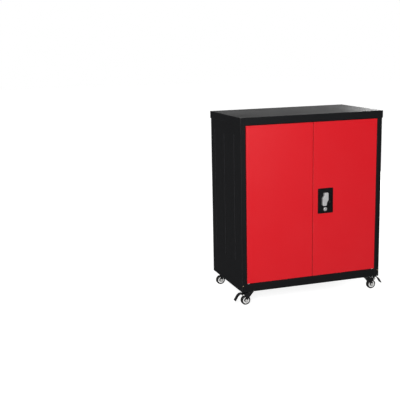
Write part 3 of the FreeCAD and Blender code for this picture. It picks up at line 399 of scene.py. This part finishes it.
def lathe(name, profile, segments):
    """Closed solid of revolution about Z, from a profile of (radius, height) from axis to axis."""
    made = bmesh.new()
    turns = [2 * math.pi / segments * i for i in range(segments)]
    rings = []
    for radius, height in profile:
        if radius < AXIS_RADIUS:
            rings.append([made.verts.new((0.0, 0.0, height))])
        else:
            rings.append([made.verts.new((radius * math.cos(turn), radius * math.sin(turn), height))
                          for turn in turns])
    for low, high in zip(rings, rings[1:]):
        for i in range(segments):
            j = (i + 1) % segments
            around = (low[i % len(low)], low[j % len(low)],
                      high[j % len(high)], high[i % len(high)])
            made.faces.new(list(dict.fromkeys(around)))
    bmesh.ops.recalc_face_normals(made, faces=made.faces)
    return to_object(made, name)


def cut_away(piece, cutter):
    """Takes the cutter out of the piece and removes the cutter."""
    carving = piece.modifiers.new("cut", "BOOLEAN")
    carving.operation = "DIFFERENCE"
    carving.solver = "EXACT"
    carving.object = cutter
    bake(piece)
    bpy.data.objects.remove(cutter)
    merged = bmesh.new()
    merged.from_mesh(piece.data)
    bmesh.ops.remove_doubles(merged, verts=merged.verts, dist=SLIVER)
    merged.to_mesh(piece.data)
    merged.free()


def bake(piece):
    """Makes what the piece's modifiers give its own plain mesh, and removes them."""
    bpy.context.view_layer.update()
    evaluated = piece.evaluated_get(bpy.context.evaluated_depsgraph_get())
    mesh = bpy.data.meshes.new_from_object(evaluated)
    if not mesh.polygons:
        raise RuntimeError(piece.name + " came out empty")
    piece.modifiers.clear()
    piece.data = mesh
    mesh.name = piece.name


def smooth(piece):
    """Shades the piece smooth, and keeps an edge sharp where it folds further than SHARP_FOLD."""
    mesh = piece.data
    mesh.shade_smooth()
    normals = {}
    for polygon in mesh.polygons:
        for key in polygon.edge_keys:
            normals.setdefault(key, []).append(polygon.normal.copy())
    for edge in mesh.edges:
        sides = normals.get(edge.key, ())
        if len(sides) == 2 and sides[0].angle(sides[1], 0.0) > SHARP_FOLD:
            edge.use_edge_sharp = True


def loose_solids(node):
    """The points of each separate solid of a CAD node, in a steady order."""
    copy = bmesh.new()
    copy.from_mesh(nodes[node].data)
    bmesh.ops.remove_doubles(copy, verts=copy.verts, dist=ONE_POINT)
    left = set(copy.verts)
    solids = []
    while left:
        island = {left.pop()}
        reached = island
        while reached:
            reached = {e.other_vert(v) for v in reached for e in v.link_edges} - island
            island = island | reached
        left -= island
        solids.append([v.co.copy() for v in island])
    copy.free()
    return sorted(solids, key=lambda points: tuple(round(c, 5) for c in corners(points)[0]))


def corners(points):
    """Low and high corner of the box round the points."""
    return (Vector([min(p[i] for p in points) for i in range(3)]),
            Vector([max(p[i] for p in points) for i in range(3)]))


# Screws

RIM = 0.98                           # a point this share of the head's radius out is on its rim
DOME_RINGS = 7
SCREW_SIDES = 24
THREAD_TURNS = 8
THREAD_CORE = 0.78                   # radius of a thread's core, by the shank's
RECESS_ARM = 0.21                    # half width of a recess's arm, by its reach
RECESS_FLOOR = 0.45                  # size of a recess's floor, by its mouth's
RECESS_MOUTH = 0.95                  # height of a recess's mouth, by the head's


def cross_recess(reach, depth):
    """Cutter for a cross-shaped driver recess that narrows downwards, its mouth at Z 0."""
    arm = reach * RECESS_ARM
    outline = []
    for quarter in range(4):
        turn = Matrix.Rotation(quarter * math.pi / 2, 2)
        outline += [turn @ Vector(corner) for corner in ((arm, arm), (arm, reach), (-arm, reach))]
    made = bmesh.new()
    rings = []
    for level, spread in ((-depth, RECESS_FLOOR), (0.0, 1.0), (depth, 1.0)):
        rings.append([made.verts.new((spread * corner.x, spread * corner.y, level))
                      for corner in outline])
    for low, high in zip(rings, rings[1:]):
        for i in range(len(outline)):
            j = (i + 1) % len(outline)
            made.faces.new((low[i], low[j], high[j], high[i]))
    made.faces.new(rings[0][::-1])
    made.faces.new(rings[-1])
    bmesh.ops.recalc_face_normals(made, faces=made.faces)
    return to_object(made, "recess")


class ScrewForm:
    """Sizes and place of one screw along Y, read from the points of its CAD solid."""

    def __init__(self, points):
        low, high = corners(points)
        middle = (low + high) / 2
        radii = [math.hypot(p.x - middle.x, p.z - middle.z) for p in points]
        self.head_radius = max(radii)
        rim = [p.y for p, radius in zip(points, radii) if radius > RIM * self.head_radius]
        forward = sum(rim) / len(rim) < middle.y
        self.facing = Vector((0.0, -1.0 if forward else 1.0, 0.0))
        under_head = max(rim) if forward else min(rim)
        top, tip = (low.y, high.y) if forward else (high.y, low.y)
        self.head = abs(top - under_head)
        self.length = abs(tip - under_head)
        half_way = self.head + self.length / 2
        self.shank_radius = max(radius for p, radius in zip(points, radii)
                                if abs(p.y - top) > half_way)
        self.foot = Vector((middle.x, under_head, middle.z))


def pan_head_screw(form, recess):
    """Screw along Z: its domed, cross-recessed head above Z 0 and its threaded shank below."""
    dome = (form.head_radius ** 2 + form.head ** 2) / (2 * form.head)
    profile = [(0.0, form.head)]
    for step in range(1, DOME_RINGS + 1):
        radius = form.head_radius * step / DOME_RINGS
        profile.append((radius, form.head - dome + math.sqrt(dome ** 2 - radius ** 2)))
    profile.append((form.shank_radius, 0.0))
    pitch = form.length / (THREAD_TURNS + 1)
    for turn in range(THREAD_TURNS):
        level = -pitch * (turn + 0.5)
        profile += [(form.shank_radius, level),
                    (form.shank_radius * THREAD_CORE, level - pitch / 2)]
    profile.append((0.0, -form.length))
    screw = lathe("screw", profile, SCREW_SIDES)
    cutter = cross_recess(recess, form.head)
    cutter.data.transform(Matrix.Translation((0.0, 0.0, form.head * RECESS_MOUTH)))
    cut_away(screw, cutter)
    smooth(screw)
    return screw


# Geometry node trees

SCREW_SEED = 3
WELD_SEED = 7
WELD_SPREAD = (0.85, 1.15)           # radius of a weld's button, by the usual one


class GeometryTree(NodeTree):
    """A geometry node tree with named inputs, ending in Realize Instances and Set Material."""

    def __init__(self, name, inputs):
        super().__init__(bpy.data.node_groups.new(name, "GeometryNodeTree"))
        self.ids = {}
        sockets = self.tree.interface
        for label, kind in [("Geometry", "NodeSocketGeometry")] + inputs:
            socket = sockets.new_socket(label, in_out="INPUT", socket_type=kind)
            self.ids[label] = socket.identifier
        sockets.new_socket("Geometry", in_out="OUTPUT", socket_type="NodeSocketGeometry")
        self.given = self.tree.nodes.new("NodeGroupInput").outputs

    def random(self, low, high):
        """A random number for each point, from the tree's seed."""
        made = self.add("FunctionNodeRandomValue", {2: low, 3: high, "Seed": self.given["Seed"]},
                        data_type="FLOAT")
        return made.outputs[1]

    def facing(self):
        """Rotation that turns Z to the direction stored on a point, and at random about it."""
        aim = self.add("GeometryNodeInputNamedAttribute", {"Name": "aim"}, data_type="FLOAT_VECTOR")
        aligned = self.add("FunctionNodeAlignRotationToVector", {"Vector": aim.outputs[0]},
                           axis="Z")
        turn = self.random(0.0, 2 * math.pi)
        spin = self.add("FunctionNodeAxisAngleToRotation", {"Axis": UP, "Angle": turn})
        both = self.add("FunctionNodeRotateRotation", {"Rotation": aligned.outputs[0],
                                                       "Rotate By": spin.outputs[0]},
                        rotation_space="LOCAL")
        return both.outputs[0]

    def close(self, instances):
        """Ends the tree: real geometry with the material on it."""
        real = self.add("GeometryNodeRealizeInstances", {"Geometry": instances})
        coated = self.add("GeometryNodeSetMaterial", {"Geometry": real.outputs[0],
                                                      "Material": self.given["Material"]})
        self.add("NodeGroupOutput", {0: coated.outputs[0]})

    def grow(self, base, values):
        """Runs the tree on the base object and leaves the plain result in it."""
        modifier = base.modifiers.new(self.tree.name, "NODES")
        modifier.node_group = self.tree
        for label, value in values.items():
            modifier[self.ids[label]] = value
        bake(base)


def fastener_tree():
    """One fastener on each point, its axis along the point's direction."""
    tree = GeometryTree("fasteners", [("Fastener", "NodeSocketObject"), ("Seed", "NodeSocketInt"),
                                      ("Material", "NodeSocketMaterial")])
    shape = tree.add("GeometryNodeObjectInfo", {"Object": tree.given["Fastener"]})
    points = tree.add("GeometryNodeMeshToPoints", {"Mesh": tree.given["Geometry"]})
    placed = tree.add("GeometryNodeInstanceOnPoints", {
        "Points": points.outputs[0], "Instance": shape.outputs["Geometry"],
        "Rotation": tree.facing()})
    tree.close(placed.outputs[0])
    return tree


def weld_tree():
    """Low spot-weld buttons along every edge of the base, pitch apart."""
    tree = GeometryTree("spot welds", [("Pitch", "NodeSocketFloat"), ("Radius", "NodeSocketFloat"),
                                       ("Rise", "NodeSocketFloat"), ("Seed", "NodeSocketInt"),
                                       ("Material", "NodeSocketMaterial")])
    line = tree.add("GeometryNodeMeshToCurve", {"Mesh": tree.given["Geometry"]})
    spaced = tree.add("GeometryNodeResampleCurve", {"Curve": line.outputs[0],
                                                    "Length": tree.given["Pitch"]}, mode="LENGTH")
    points = tree.add("GeometryNodeCurveToPoints", {"Curve": spaced.outputs[0]}, mode="EVALUATED")
    button = tree.add("GeometryNodeMeshUVSphere", {"Segments": 12, "Rings": 6, "Radius": 1.0})
    radius = tree.add("ShaderNodeMath", {0: tree.random(*WELD_SPREAD), 1: tree.given["Radius"]},
                      operation="MULTIPLY").outputs[0]
    scale = tree.add("ShaderNodeCombineXYZ", {0: radius, 1: radius, 2: tree.given["Rise"]})
    placed = tree.add("GeometryNodeInstanceOnPoints", {
        "Points": points.outputs[0], "Instance": button.outputs[0],
        "Rotation": tree.facing(), "Scale": scale.outputs[0]})
    tree.close(placed.outputs[0])
    return tree


def ball_race_tree():
    """A ring of balls about each point of the base."""
    tree = GeometryTree("ball race", [("Race", "NodeSocketFloat"), ("Ball", "NodeSocketFloat"),
                                      ("Balls", "NodeSocketInt"),
                                      ("Material", "NodeSocketMaterial")])
    ring = tree.add("GeometryNodeCurvePrimitiveCircle", {"Radius": tree.given["Race"]})
    spaced = tree.add("GeometryNodeCurveToPoints", {"Curve": ring.outputs[0],
                                                    "Count": tree.given["Balls"]}, mode="COUNT")
    ball = tree.add("GeometryNodeMeshIcoSphere", {"Radius": tree.given["Ball"], "Subdivisions": 2})
    race = tree.add("GeometryNodeInstanceOnPoints", {"Points": spaced.outputs[0],
                                                     "Instance": ball.outputs[0]})
    points = tree.add("GeometryNodeMeshToPoints", {"Mesh": tree.given["Geometry"]})
    placed = tree.add("GeometryNodeInstanceOnPoints", {"Points": points.outputs[0],
                                                       "Instance": race.outputs[0]})
    tree.close(placed.outputs[0])
    return tree


def marked_points(name, points, edges=()):
    """Base mesh of points, each with the direction that its copy faces."""
    mesh = bpy.data.meshes.new(name)
    mesh.from_pydata([place for place, direction in points], edges, [])
    aims = mesh.attributes.new("aim", "FLOAT_VECTOR", "POINT")
    for i, (place, direction) in enumerate(points):
        aims.data[i].vector = direction
    return put(name, mesh)


# Sizes and colours that a user would change

class CabinetColours(PropertyGroup):
    """Colours of the finishes."""
    carcass: FloatVectorProperty(
        name="Carcass", description="Black powder coat of the carcass",
        subtype="COLOR", size=3, min=0.0, max=1.0, default=(0.0052, 0.0055, 0.0064))
    # paler colour of the carcass's folds and dust, partly wear and partly a painted highlight of
    # the rounded edges
    carcass_worn_and_highlight: FloatVectorProperty(
        name="Carcass, worn", description="Thin coat on the carcass's folds",
        subtype="COLOR", size=3, min=0.0, max=1.0, default=(0.026, 0.026, 0.028))
    door: FloatVectorProperty(
        name="Doors", description="Red powder coat of the doors",
        subtype="COLOR", size=3, min=0.0, max=1.0, default=(0.53, 0.002, 0.008))
    # paler colour of the doors' folds and dust, partly wear and partly a painted highlight of the
    # rounded edges
    door_worn_and_highlight: FloatVectorProperty(
        name="Doors, worn", description="Thin coat on the doors' folds",
        subtype="COLOR", size=3, min=0.0, max=1.0, default=(0.62, 0.06, 0.065))
    zinc: FloatVectorProperty(
        name="Zinc", description="Plated brackets, rods and lock case",
        subtype="COLOR", size=3, min=0.0, max=1.0, default=(0.6, 0.6, 0.58))
    lock_plate: FloatVectorProperty(
        name="Lock plate", description="Black moulding round the lever",
        subtype="COLOR", size=3, min=0.0, max=1.0, default=(0.003, 0.003, 0.0035))
    lever: FloatVectorProperty(
        name="Lever", description="Satin nickel of the turn lever",
        subtype="COLOR", size=3, min=0.0, max=1.0, default=(0.66, 0.66, 0.66))
    hub: FloatVectorProperty(
        name="Hubs", description="Bright hubs of the casters",
        subtype="COLOR", size=3, min=0.0, max=1.0, default=(0.82, 0.82, 0.81))


class CabinetHardware(PropertyGroup):
    """Sizes of the small hardware."""
    weld_pitch: FloatProperty(
        name="Weld pitch", description="Distance between spot welds",
        subtype="DISTANCE", unit="LENGTH", default=100.0 * MM)
    weld_radius: FloatProperty(
        name="Weld radius", description="Radius of a spot weld's button",
        subtype="DISTANCE", unit="LENGTH", default=2.4 * MM)
    weld_rise: FloatProperty(
        name="Weld rise", description="Height of a spot weld's button",
        subtype="DISTANCE", unit="LENGTH", default=0.3 * MM)
    carcass_recess: FloatProperty(
        name="Carcass screw recess", description="Reach of the cross recess",
        subtype="DISTANCE", unit="LENGTH", default=1.9 * MM)
    lock_recess: FloatProperty(
        name="Lock screw recess", description="Reach of the cross recess",
        subtype="DISTANCE", unit="LENGTH", default=1.6 * MM)
    race_balls: IntProperty(
        name="Balls in a race", description="Balls in each caster's swivel race",
        default=22)
    race_ball: FloatProperty(
        name="Ball radius", description="Radius of a ball in a swivel race",
        subtype="DISTANCE", unit="LENGTH", default=(carcass_foot - fork_top) / 2 - RUNNING_GAP)
    race_clearance: FloatProperty(
        name="Race clearance", description="Balls to the flange of the fixed stem",
        subtype="DISTANCE", unit="LENGTH", default=0.9 * MM)


class CabinetStudio(PropertyGroup):
    """Floor, light and camera."""
    world: FloatProperty(
        name="Studio light", description="Strength of the light from all round",
        default=0.11)
    key: FloatProperty(
        name="Key light", description="Power of the soft box at the front left",
        subtype="POWER", unit="POWER", default=158.0)
    back: FloatProperty(
        name="Back light", description="Power of the soft box behind, for the sheen of the top",
        subtype="POWER", unit="POWER", default=7.0)
    edge: FloatProperty(
        name="Edge light", description="Power of the soft box behind, at the right end of the top",
        subtype="POWER", unit="POWER", default=22.0)
    sheen: FloatProperty(
        name="Sheen light", description="Power of the soft box that the doors mirror",
        subtype="POWER", unit="POWER", default=7.0)
    fill: FloatProperty(
        name="Fill light", description="Power of the low soft box at the rear right",
        subtype="POWER", unit="POWER", default=70.0)
    floor_glow: FloatProperty(
        name="Floor glow", description="Light that the pale floor gives off near the cabinet",
        default=0.88)
    floor_radius: FloatProperty(
        name="Floor radius", description="Radius of the pale floor",
        subtype="DISTANCE", unit="LENGTH", default=20.0)
    azimuth: FloatProperty(
        name="Camera azimuth", description="Camera's bearing, negative to the left",
        subtype="ANGLE", unit="ROTATION", default=math.radians(-18.120))
    elevation: FloatProperty(
        name="Camera elevation", description="Camera's angle above the horizon",
        subtype="ANGLE", unit="ROTATION", default=math.radians(11.462))
    roll: FloatProperty(
        name="Camera roll", description="Camera's turn about its own axis",
        subtype="ANGLE", unit="ROTATION", default=math.radians(-1.226))
    distance: FloatProperty(
        name="Camera distance", description="Camera to the point that it looks at",
        subtype="DISTANCE", unit="LENGTH", default=4.2044)
    aim: FloatVectorProperty(
        name="Camera aim", description="Point that the camera looks at",
        subtype="XYZ", unit="LENGTH", size=3, default=(-0.5465, 0.001, 0.5372))
    lens: FloatProperty(
        name="Lens", description="Focal length, on a sensor 36 mm wide",
        subtype="DISTANCE_CAMERA", unit="CAMERA", default=71.79)


# Operators

class CABINET_OT_panels(Operator):
    """Powder coat of the carcass and the doors"""
    bl_idname = "cabinet.panels"
    bl_label = "Coat carcass and doors"

    def execute(self, context):
        dress(("black_powder_coat", "red_powder_coat"), context.scene.cabinet_colours)
        return {"FINISHED"}


class CABINET_OT_fittings(Operator):
    """Plating and plastic of the shelf clips, pivots, catches, rods and lock case"""
    bl_idname = "cabinet.fittings"
    bl_label = "Finish the fittings"

    def execute(self, context):
        dress(("zinc_plate", "bronzed_screw", "white_nylon", "catch_plastic"),
              context.scene.cabinet_colours)
        return {"FINISHED"}


class CABINET_OT_lock(Operator):
    """Lock plate, turn lever and key lock"""
    bl_idname = "cabinet.lock"
    bl_label = "Finish the lock"

    def execute(self, context):
        dress(("lock_black", "lever_satin", "lock_chrome"), context.scene.cabinet_colours)
        return {"FINISHED"}


class CABINET_OT_casters(Operator):
    """Forks, wheels, bolts and pedals of the casters"""
    bl_idname = "cabinet.casters"
    bl_label = "Finish the casters"

    def execute(self, context):
        dress(("caster_black", "pedal_black", "bolt_bright", "hub_bright", "tyre_black"),
              context.scene.cabinet_colours)
        return {"FINISHED"}


class CABINET_OT_screws(Operator):
    """Cross-recessed screws of the carcass and of the lock case"""
    bl_idname = "cabinet.screws"
    bl_label = "Make the screws"

    def execute(self, context):
        colours = context.scene.cabinet_colours
        sizes = context.scene.cabinet_hardware
        tree = fastener_tree()
        for node, body, recess in (("carcass_screws", "cabinet", sizes.carcass_recess),
                                   ("lock_screws", "right_door", sizes.lock_recess)):
            forms = [ScrewForm(points) for points in loose_solids(node)]
            screw = pan_head_screw(forms[0], recess)
            made = marked_points(node + "_made", [(form.foot, form.facing) for form in forms])
            tree.grow(made, {"Fastener": screw, "Seed": SCREW_SEED,
                             "Material": make_finish(slot_of[node], colours)})
            bpy.data.objects.remove(screw)
            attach(made, body)
            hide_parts(node)
        return {"FINISHED"}


BEARER_FLANGE = 12.0 * MM            # flanges of the caster bearers, under the carcass
BEARER_SHEET = 2.0 * MM
BEARER_END = 30.0 * MM               # from a bearer's end to its last weld
STIFFENER_FLANGE = 14.0 * MM         # flanges of the door stiffeners, on the doors
STIFFENER_SHEET = 1.0 * MM
STIFFENER_END = 20.0 * MM            # from a stiffener's end to its last weld
SLOT_PITCH = 50.0 * MM               # slots of the shelf strips


class CABINET_OT_welds(Operator):
    """Spot welds of the shelf strips, caster bearers and door stiffeners"""
    bl_idname = "cabinet.welds"
    bl_label = "Make the spot welds"

    def execute(self, context):
        colours = context.scene.cabinet_colours
        sizes = context.scene.cabinet_hardware
        tree = weld_tree()
        for name, body, slot, rows in (
                ("carcass_welds", "cabinet", "black_powder_coat", self.carcass_rows()),
                ("left_door_welds", "left_door", "red_powder_coat",
                 self.stiffener_rows("left_door_stiffener")),
                ("right_door_welds", "right_door", "red_powder_coat",
                 self.stiffener_rows("right_door_stiffener"))):
            points = []
            edges = []
            for start, end, direction in rows:
                edges.append((len(points), len(points) + 1))
                points += [(start, direction), (end, direction)]
            made = marked_points(name, points, edges)
            tree.grow(made, {"Pitch": sizes.weld_pitch, "Radius": sizes.weld_radius,
                             "Rise": sizes.weld_rise, "Seed": WELD_SEED,
                             "Material": make_finish(slot, colours)})
            smooth(made)
            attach(made, body)
        return {"FINISHED"}

    def stiffener_rows(self, node):
        """Two rows, as (start, end, direction), on the rear of the flanges that lie on the door."""
        low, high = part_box(node)
        y = low.y + STIFFENER_SHEET
        return [(Vector((x, y, low.z + STIFFENER_END)), Vector((x, y, high.z - STIFFENER_END)),
                 Vector((0.0, 1.0, 0.0)))
                for x in (low.x + STIFFENER_FLANGE / 2, high.x - STIFFENER_FLANGE / 2)]

    def carcass_rows(self):
        """Rows on the bearers' flanges and between the slots of the shelf strips."""
        rows = []
        for side, inward in (("left", 1.0), ("right", -1.0)):
            low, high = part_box(side + "_caster_bearer")
            z = high.z - BEARER_SHEET
            for x in (low.x + BEARER_FLANGE / 2, high.x - BEARER_FLANGE / 2):
                rows.append((Vector((x, low.y + BEARER_END, z)),
                             Vector((x, high.y - BEARER_END, z)), -UP))
            for end in ("front", "rear"):
                low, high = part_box(end + "_" + side + "_shelf_strip")
                x = high.x if inward > 0 else low.x
                y = (low.y + high.y) / 2
                foot = low.z + SLOT_PITCH / 2
                count = int((high.z - low.z) / SLOT_PITCH) - 1
                rows.append((Vector((x, y, foot)), Vector((x, y, foot + count * SLOT_PITCH)),
                             Vector((inward, 0.0, 0.0))))
        return rows


class CABINET_OT_ball_races(Operator):
    """Rings of balls between each caster's flange and its fork"""
    bl_idname = "cabinet.ball_races"
    bl_label = "Make the ball races"

    def execute(self, context):
        sizes = context.scene.cabinet_hardware
        level = carcass_foot - sizes.race_ball - RUNNING_GAP
        points = []
        for solid in loose_solids("caster_stems"):
            low, high = corners(solid)
            middle = (low + high) / 2
            points.append((Vector((middle.x, middle.y, level)), UP))
        race = (high.x - low.x) / 2 + sizes.race_ball + sizes.race_clearance
        made = marked_points("swivel_balls", points)
        ball_race_tree().grow(made, {
            "Race": race, "Ball": sizes.race_ball, "Balls": sizes.race_balls,
            "Material": make_finish("bolt_bright", context.scene.cabinet_colours)})
        made.data.shade_smooth()
        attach(made, "cabinet")
        return {"FINISHED"}


FLOOR_SIDES = 64
GLOW_REACH = (0.6, 2.6)              # distances between which the floor's glow rises to white
SURROUND_SIZE = 1.2                  # radius of the white surround, by the floor's
SURROUND_SIDES = 48
SURROUND_RINGS = 24
SENSOR_WIDTH = 36.0                  # of the camera, in millimetres
CLIP_END = 200.0                     # well past the surround
SOFT_BOXES = {                       # place, point that it is aimed at, and diameter
    "key": ((-2.2, -3.6, 2.2), (0.0, 0.0, 0.5), 1.6),
    "back": ((1.4, 3.3, 1.7), (0.0, 0.0, 0.9), 2.2),
    "edge": ((2.7, 3.0, 1.5), (0.3, 0.0, 0.9), 1.2),
    "sheen": ((0.8, -3.9, 0.6), (-0.2, -0.2, 0.7), 0.9),
    "fill": ((2.9, 2.7, 0.6), (0.0, 0.0, 0.5), 1.8),
}


class CABINET_OT_stage(Operator):
    """Pale floor, soft light and the camera"""
    bl_idname = "cabinet.stage"
    bl_label = "Set the stage"

    def execute(self, context):
        studio = context.scene.cabinet_studio
        self.floor(studio)
        self.light(context.scene, studio)
        self.camera(context.scene, studio)
        return {"FINISHED"}

    def floor(self, studio):
        """Pale floor and a white surround that only fills the picture behind the object."""
        radius = studio.floor_radius
        floor = lathe("floor", [(0.0, 0.0), (radius, 0.0)], FLOOR_SIDES)
        if floor.data.polygons[0].normal.z < 0:
            floor.data.flip_normals()
        pale = Finish("pale_floor", (0.4, 0.4, 0.4), roughness=0.7, specular=0.1)
        pale.set("Emission Color", WHITE)
        away = pale.add("ShaderNodeVectorMath", {0: pale.place.outputs["Object"]},
                        operation="LENGTH").outputs["Value"]
        glow = pale.remap(away, *GLOW_REACH, studio.floor_glow, 1.0)
        pale.tree.links.new(glow, pale.shader.inputs["Emission Strength"])
        pale.vary_roughness(pale.noise(400.0 * MM, detail=3.0), 0.65, 0.75)
        floor.data.materials.append(pale.done())
        floor.visible_glossy = False
        reach = SURROUND_SIZE * radius
        steps = [math.pi * i / SURROUND_RINGS for i in range(SURROUND_RINGS + 1)]
        surround = lathe("surround", [(reach * math.sin(step), reach * math.cos(step))
                                      for step in steps], SURROUND_SIDES)
        white = Finish("white_surround", (0.0, 0.0, 0.0), roughness=1.0, specular=0.0)
        white.set("Emission Color", WHITE)
        white.set("Emission Strength", 1.0)
        surround.data.materials.append(white.done())
        surround.visible_diffuse = False
        surround.visible_glossy = False
        surround.visible_transmission = False
        surround.visible_shadow = False

    def light(self, scene, studio):
        """Even light from all round, and the soft boxes."""
        world = bpy.data.worlds.new("studio")
        world.use_nodes = True
        background = world.node_tree.nodes["Background"]
        background.inputs["Color"].default_value = WHITE
        background.inputs["Strength"].default_value = studio.world
        scene.world = world
        scene.view_settings.view_transform = "Standard"
        for name, (place, target, size) in SOFT_BOXES.items():
            lamp = bpy.data.lights.new(name, "AREA")
            lamp.shape = "DISK"
            lamp.size = size
            lamp.energy = getattr(studio, name)
            held = put(name, lamp)
            held.location = place
            held.rotation_mode = "QUATERNION"
            held.rotation_quaternion = (Vector(target) - held.location).to_track_quat("-Z", "Y")

    def camera(self, scene, studio):
        """Camera on a sphere round its aim, turned about its own axis by the roll."""
        level = math.cos(studio.elevation)
        back = Vector((math.sin(studio.azimuth) * level, -math.cos(studio.azimuth) * level,
                       math.sin(studio.elevation)))
        right = UP.cross(back).normalized()
        upright = Matrix((right, back.cross(right), back)).transposed()
        turned = Matrix.Rotation(studio.roll, 3, back) @ upright
        data = bpy.data.cameras.new("camera")
        data.lens = studio.lens
        data.sensor_width = SENSOR_WIDTH
        data.clip_end = CLIP_END
        camera = put("camera", data)
        place = Vector(studio.aim) + back * studio.distance
        camera.matrix_world = Matrix.Translation(place) @ turned.to_4x4()
        scene.camera = camera


class CABINET_PT_sidebar(Panel):
    """Lists the operators in the order that they run"""
    bl_idname = "CABINET_PT_sidebar"
    bl_label = "Tool cabinet"
    bl_space_type = "VIEW_3D"
    bl_region_type = "UI"
    bl_category = "Cabinet"

    def draw(self, context):
        for operator in operators:
            self.layout.operator(operator.bl_idname)
        for name, kind in groups.items():
            box = self.layout.box()
            for setting in kind.__annotations__:
                box.prop(getattr(context.scene, name), setting)


operators = (CABINET_OT_panels, CABINET_OT_fittings, CABINET_OT_lock, CABINET_OT_casters,
             CABINET_OT_screws, CABINET_OT_welds, CABINET_OT_ball_races, CABINET_OT_stage)
groups = {"cabinet_colours": CabinetColours, "cabinet_hardware": CabinetHardware,
          "cabinet_studio": CabinetStudio}


def register():
    for group in groups.values():
        bpy.utils.register_class(group)
    for name, group in groups.items():
        setattr(bpy.types.Scene, name, PointerProperty(type=group))
    for operator in operators:
        bpy.utils.register_class(operator)
    bpy.utils.register_class(CABINET_PT_sidebar)


def unregister():
    bpy.utils.unregister_class(CABINET_PT_sidebar)
    for operator in operators:
        bpy.utils.unregister_class(operator)
    for name, group in groups.items():
        delattr(bpy.types.Scene, name)
        bpy.utils.unregister_class(group)


def main():
    """Runs every operator."""
    register()
    bpy.ops.cabinet.panels()
    bpy.ops.cabinet.fittings()
    bpy.ops.cabinet.lock()
    bpy.ops.cabinet.casters()
    bpy.ops.cabinet.screws()
    bpy.ops.cabinet.welds()
    bpy.ops.cabinet.ball_races()
    bpy.ops.cabinet.stage()


if __name__ == "__main__":
    main()
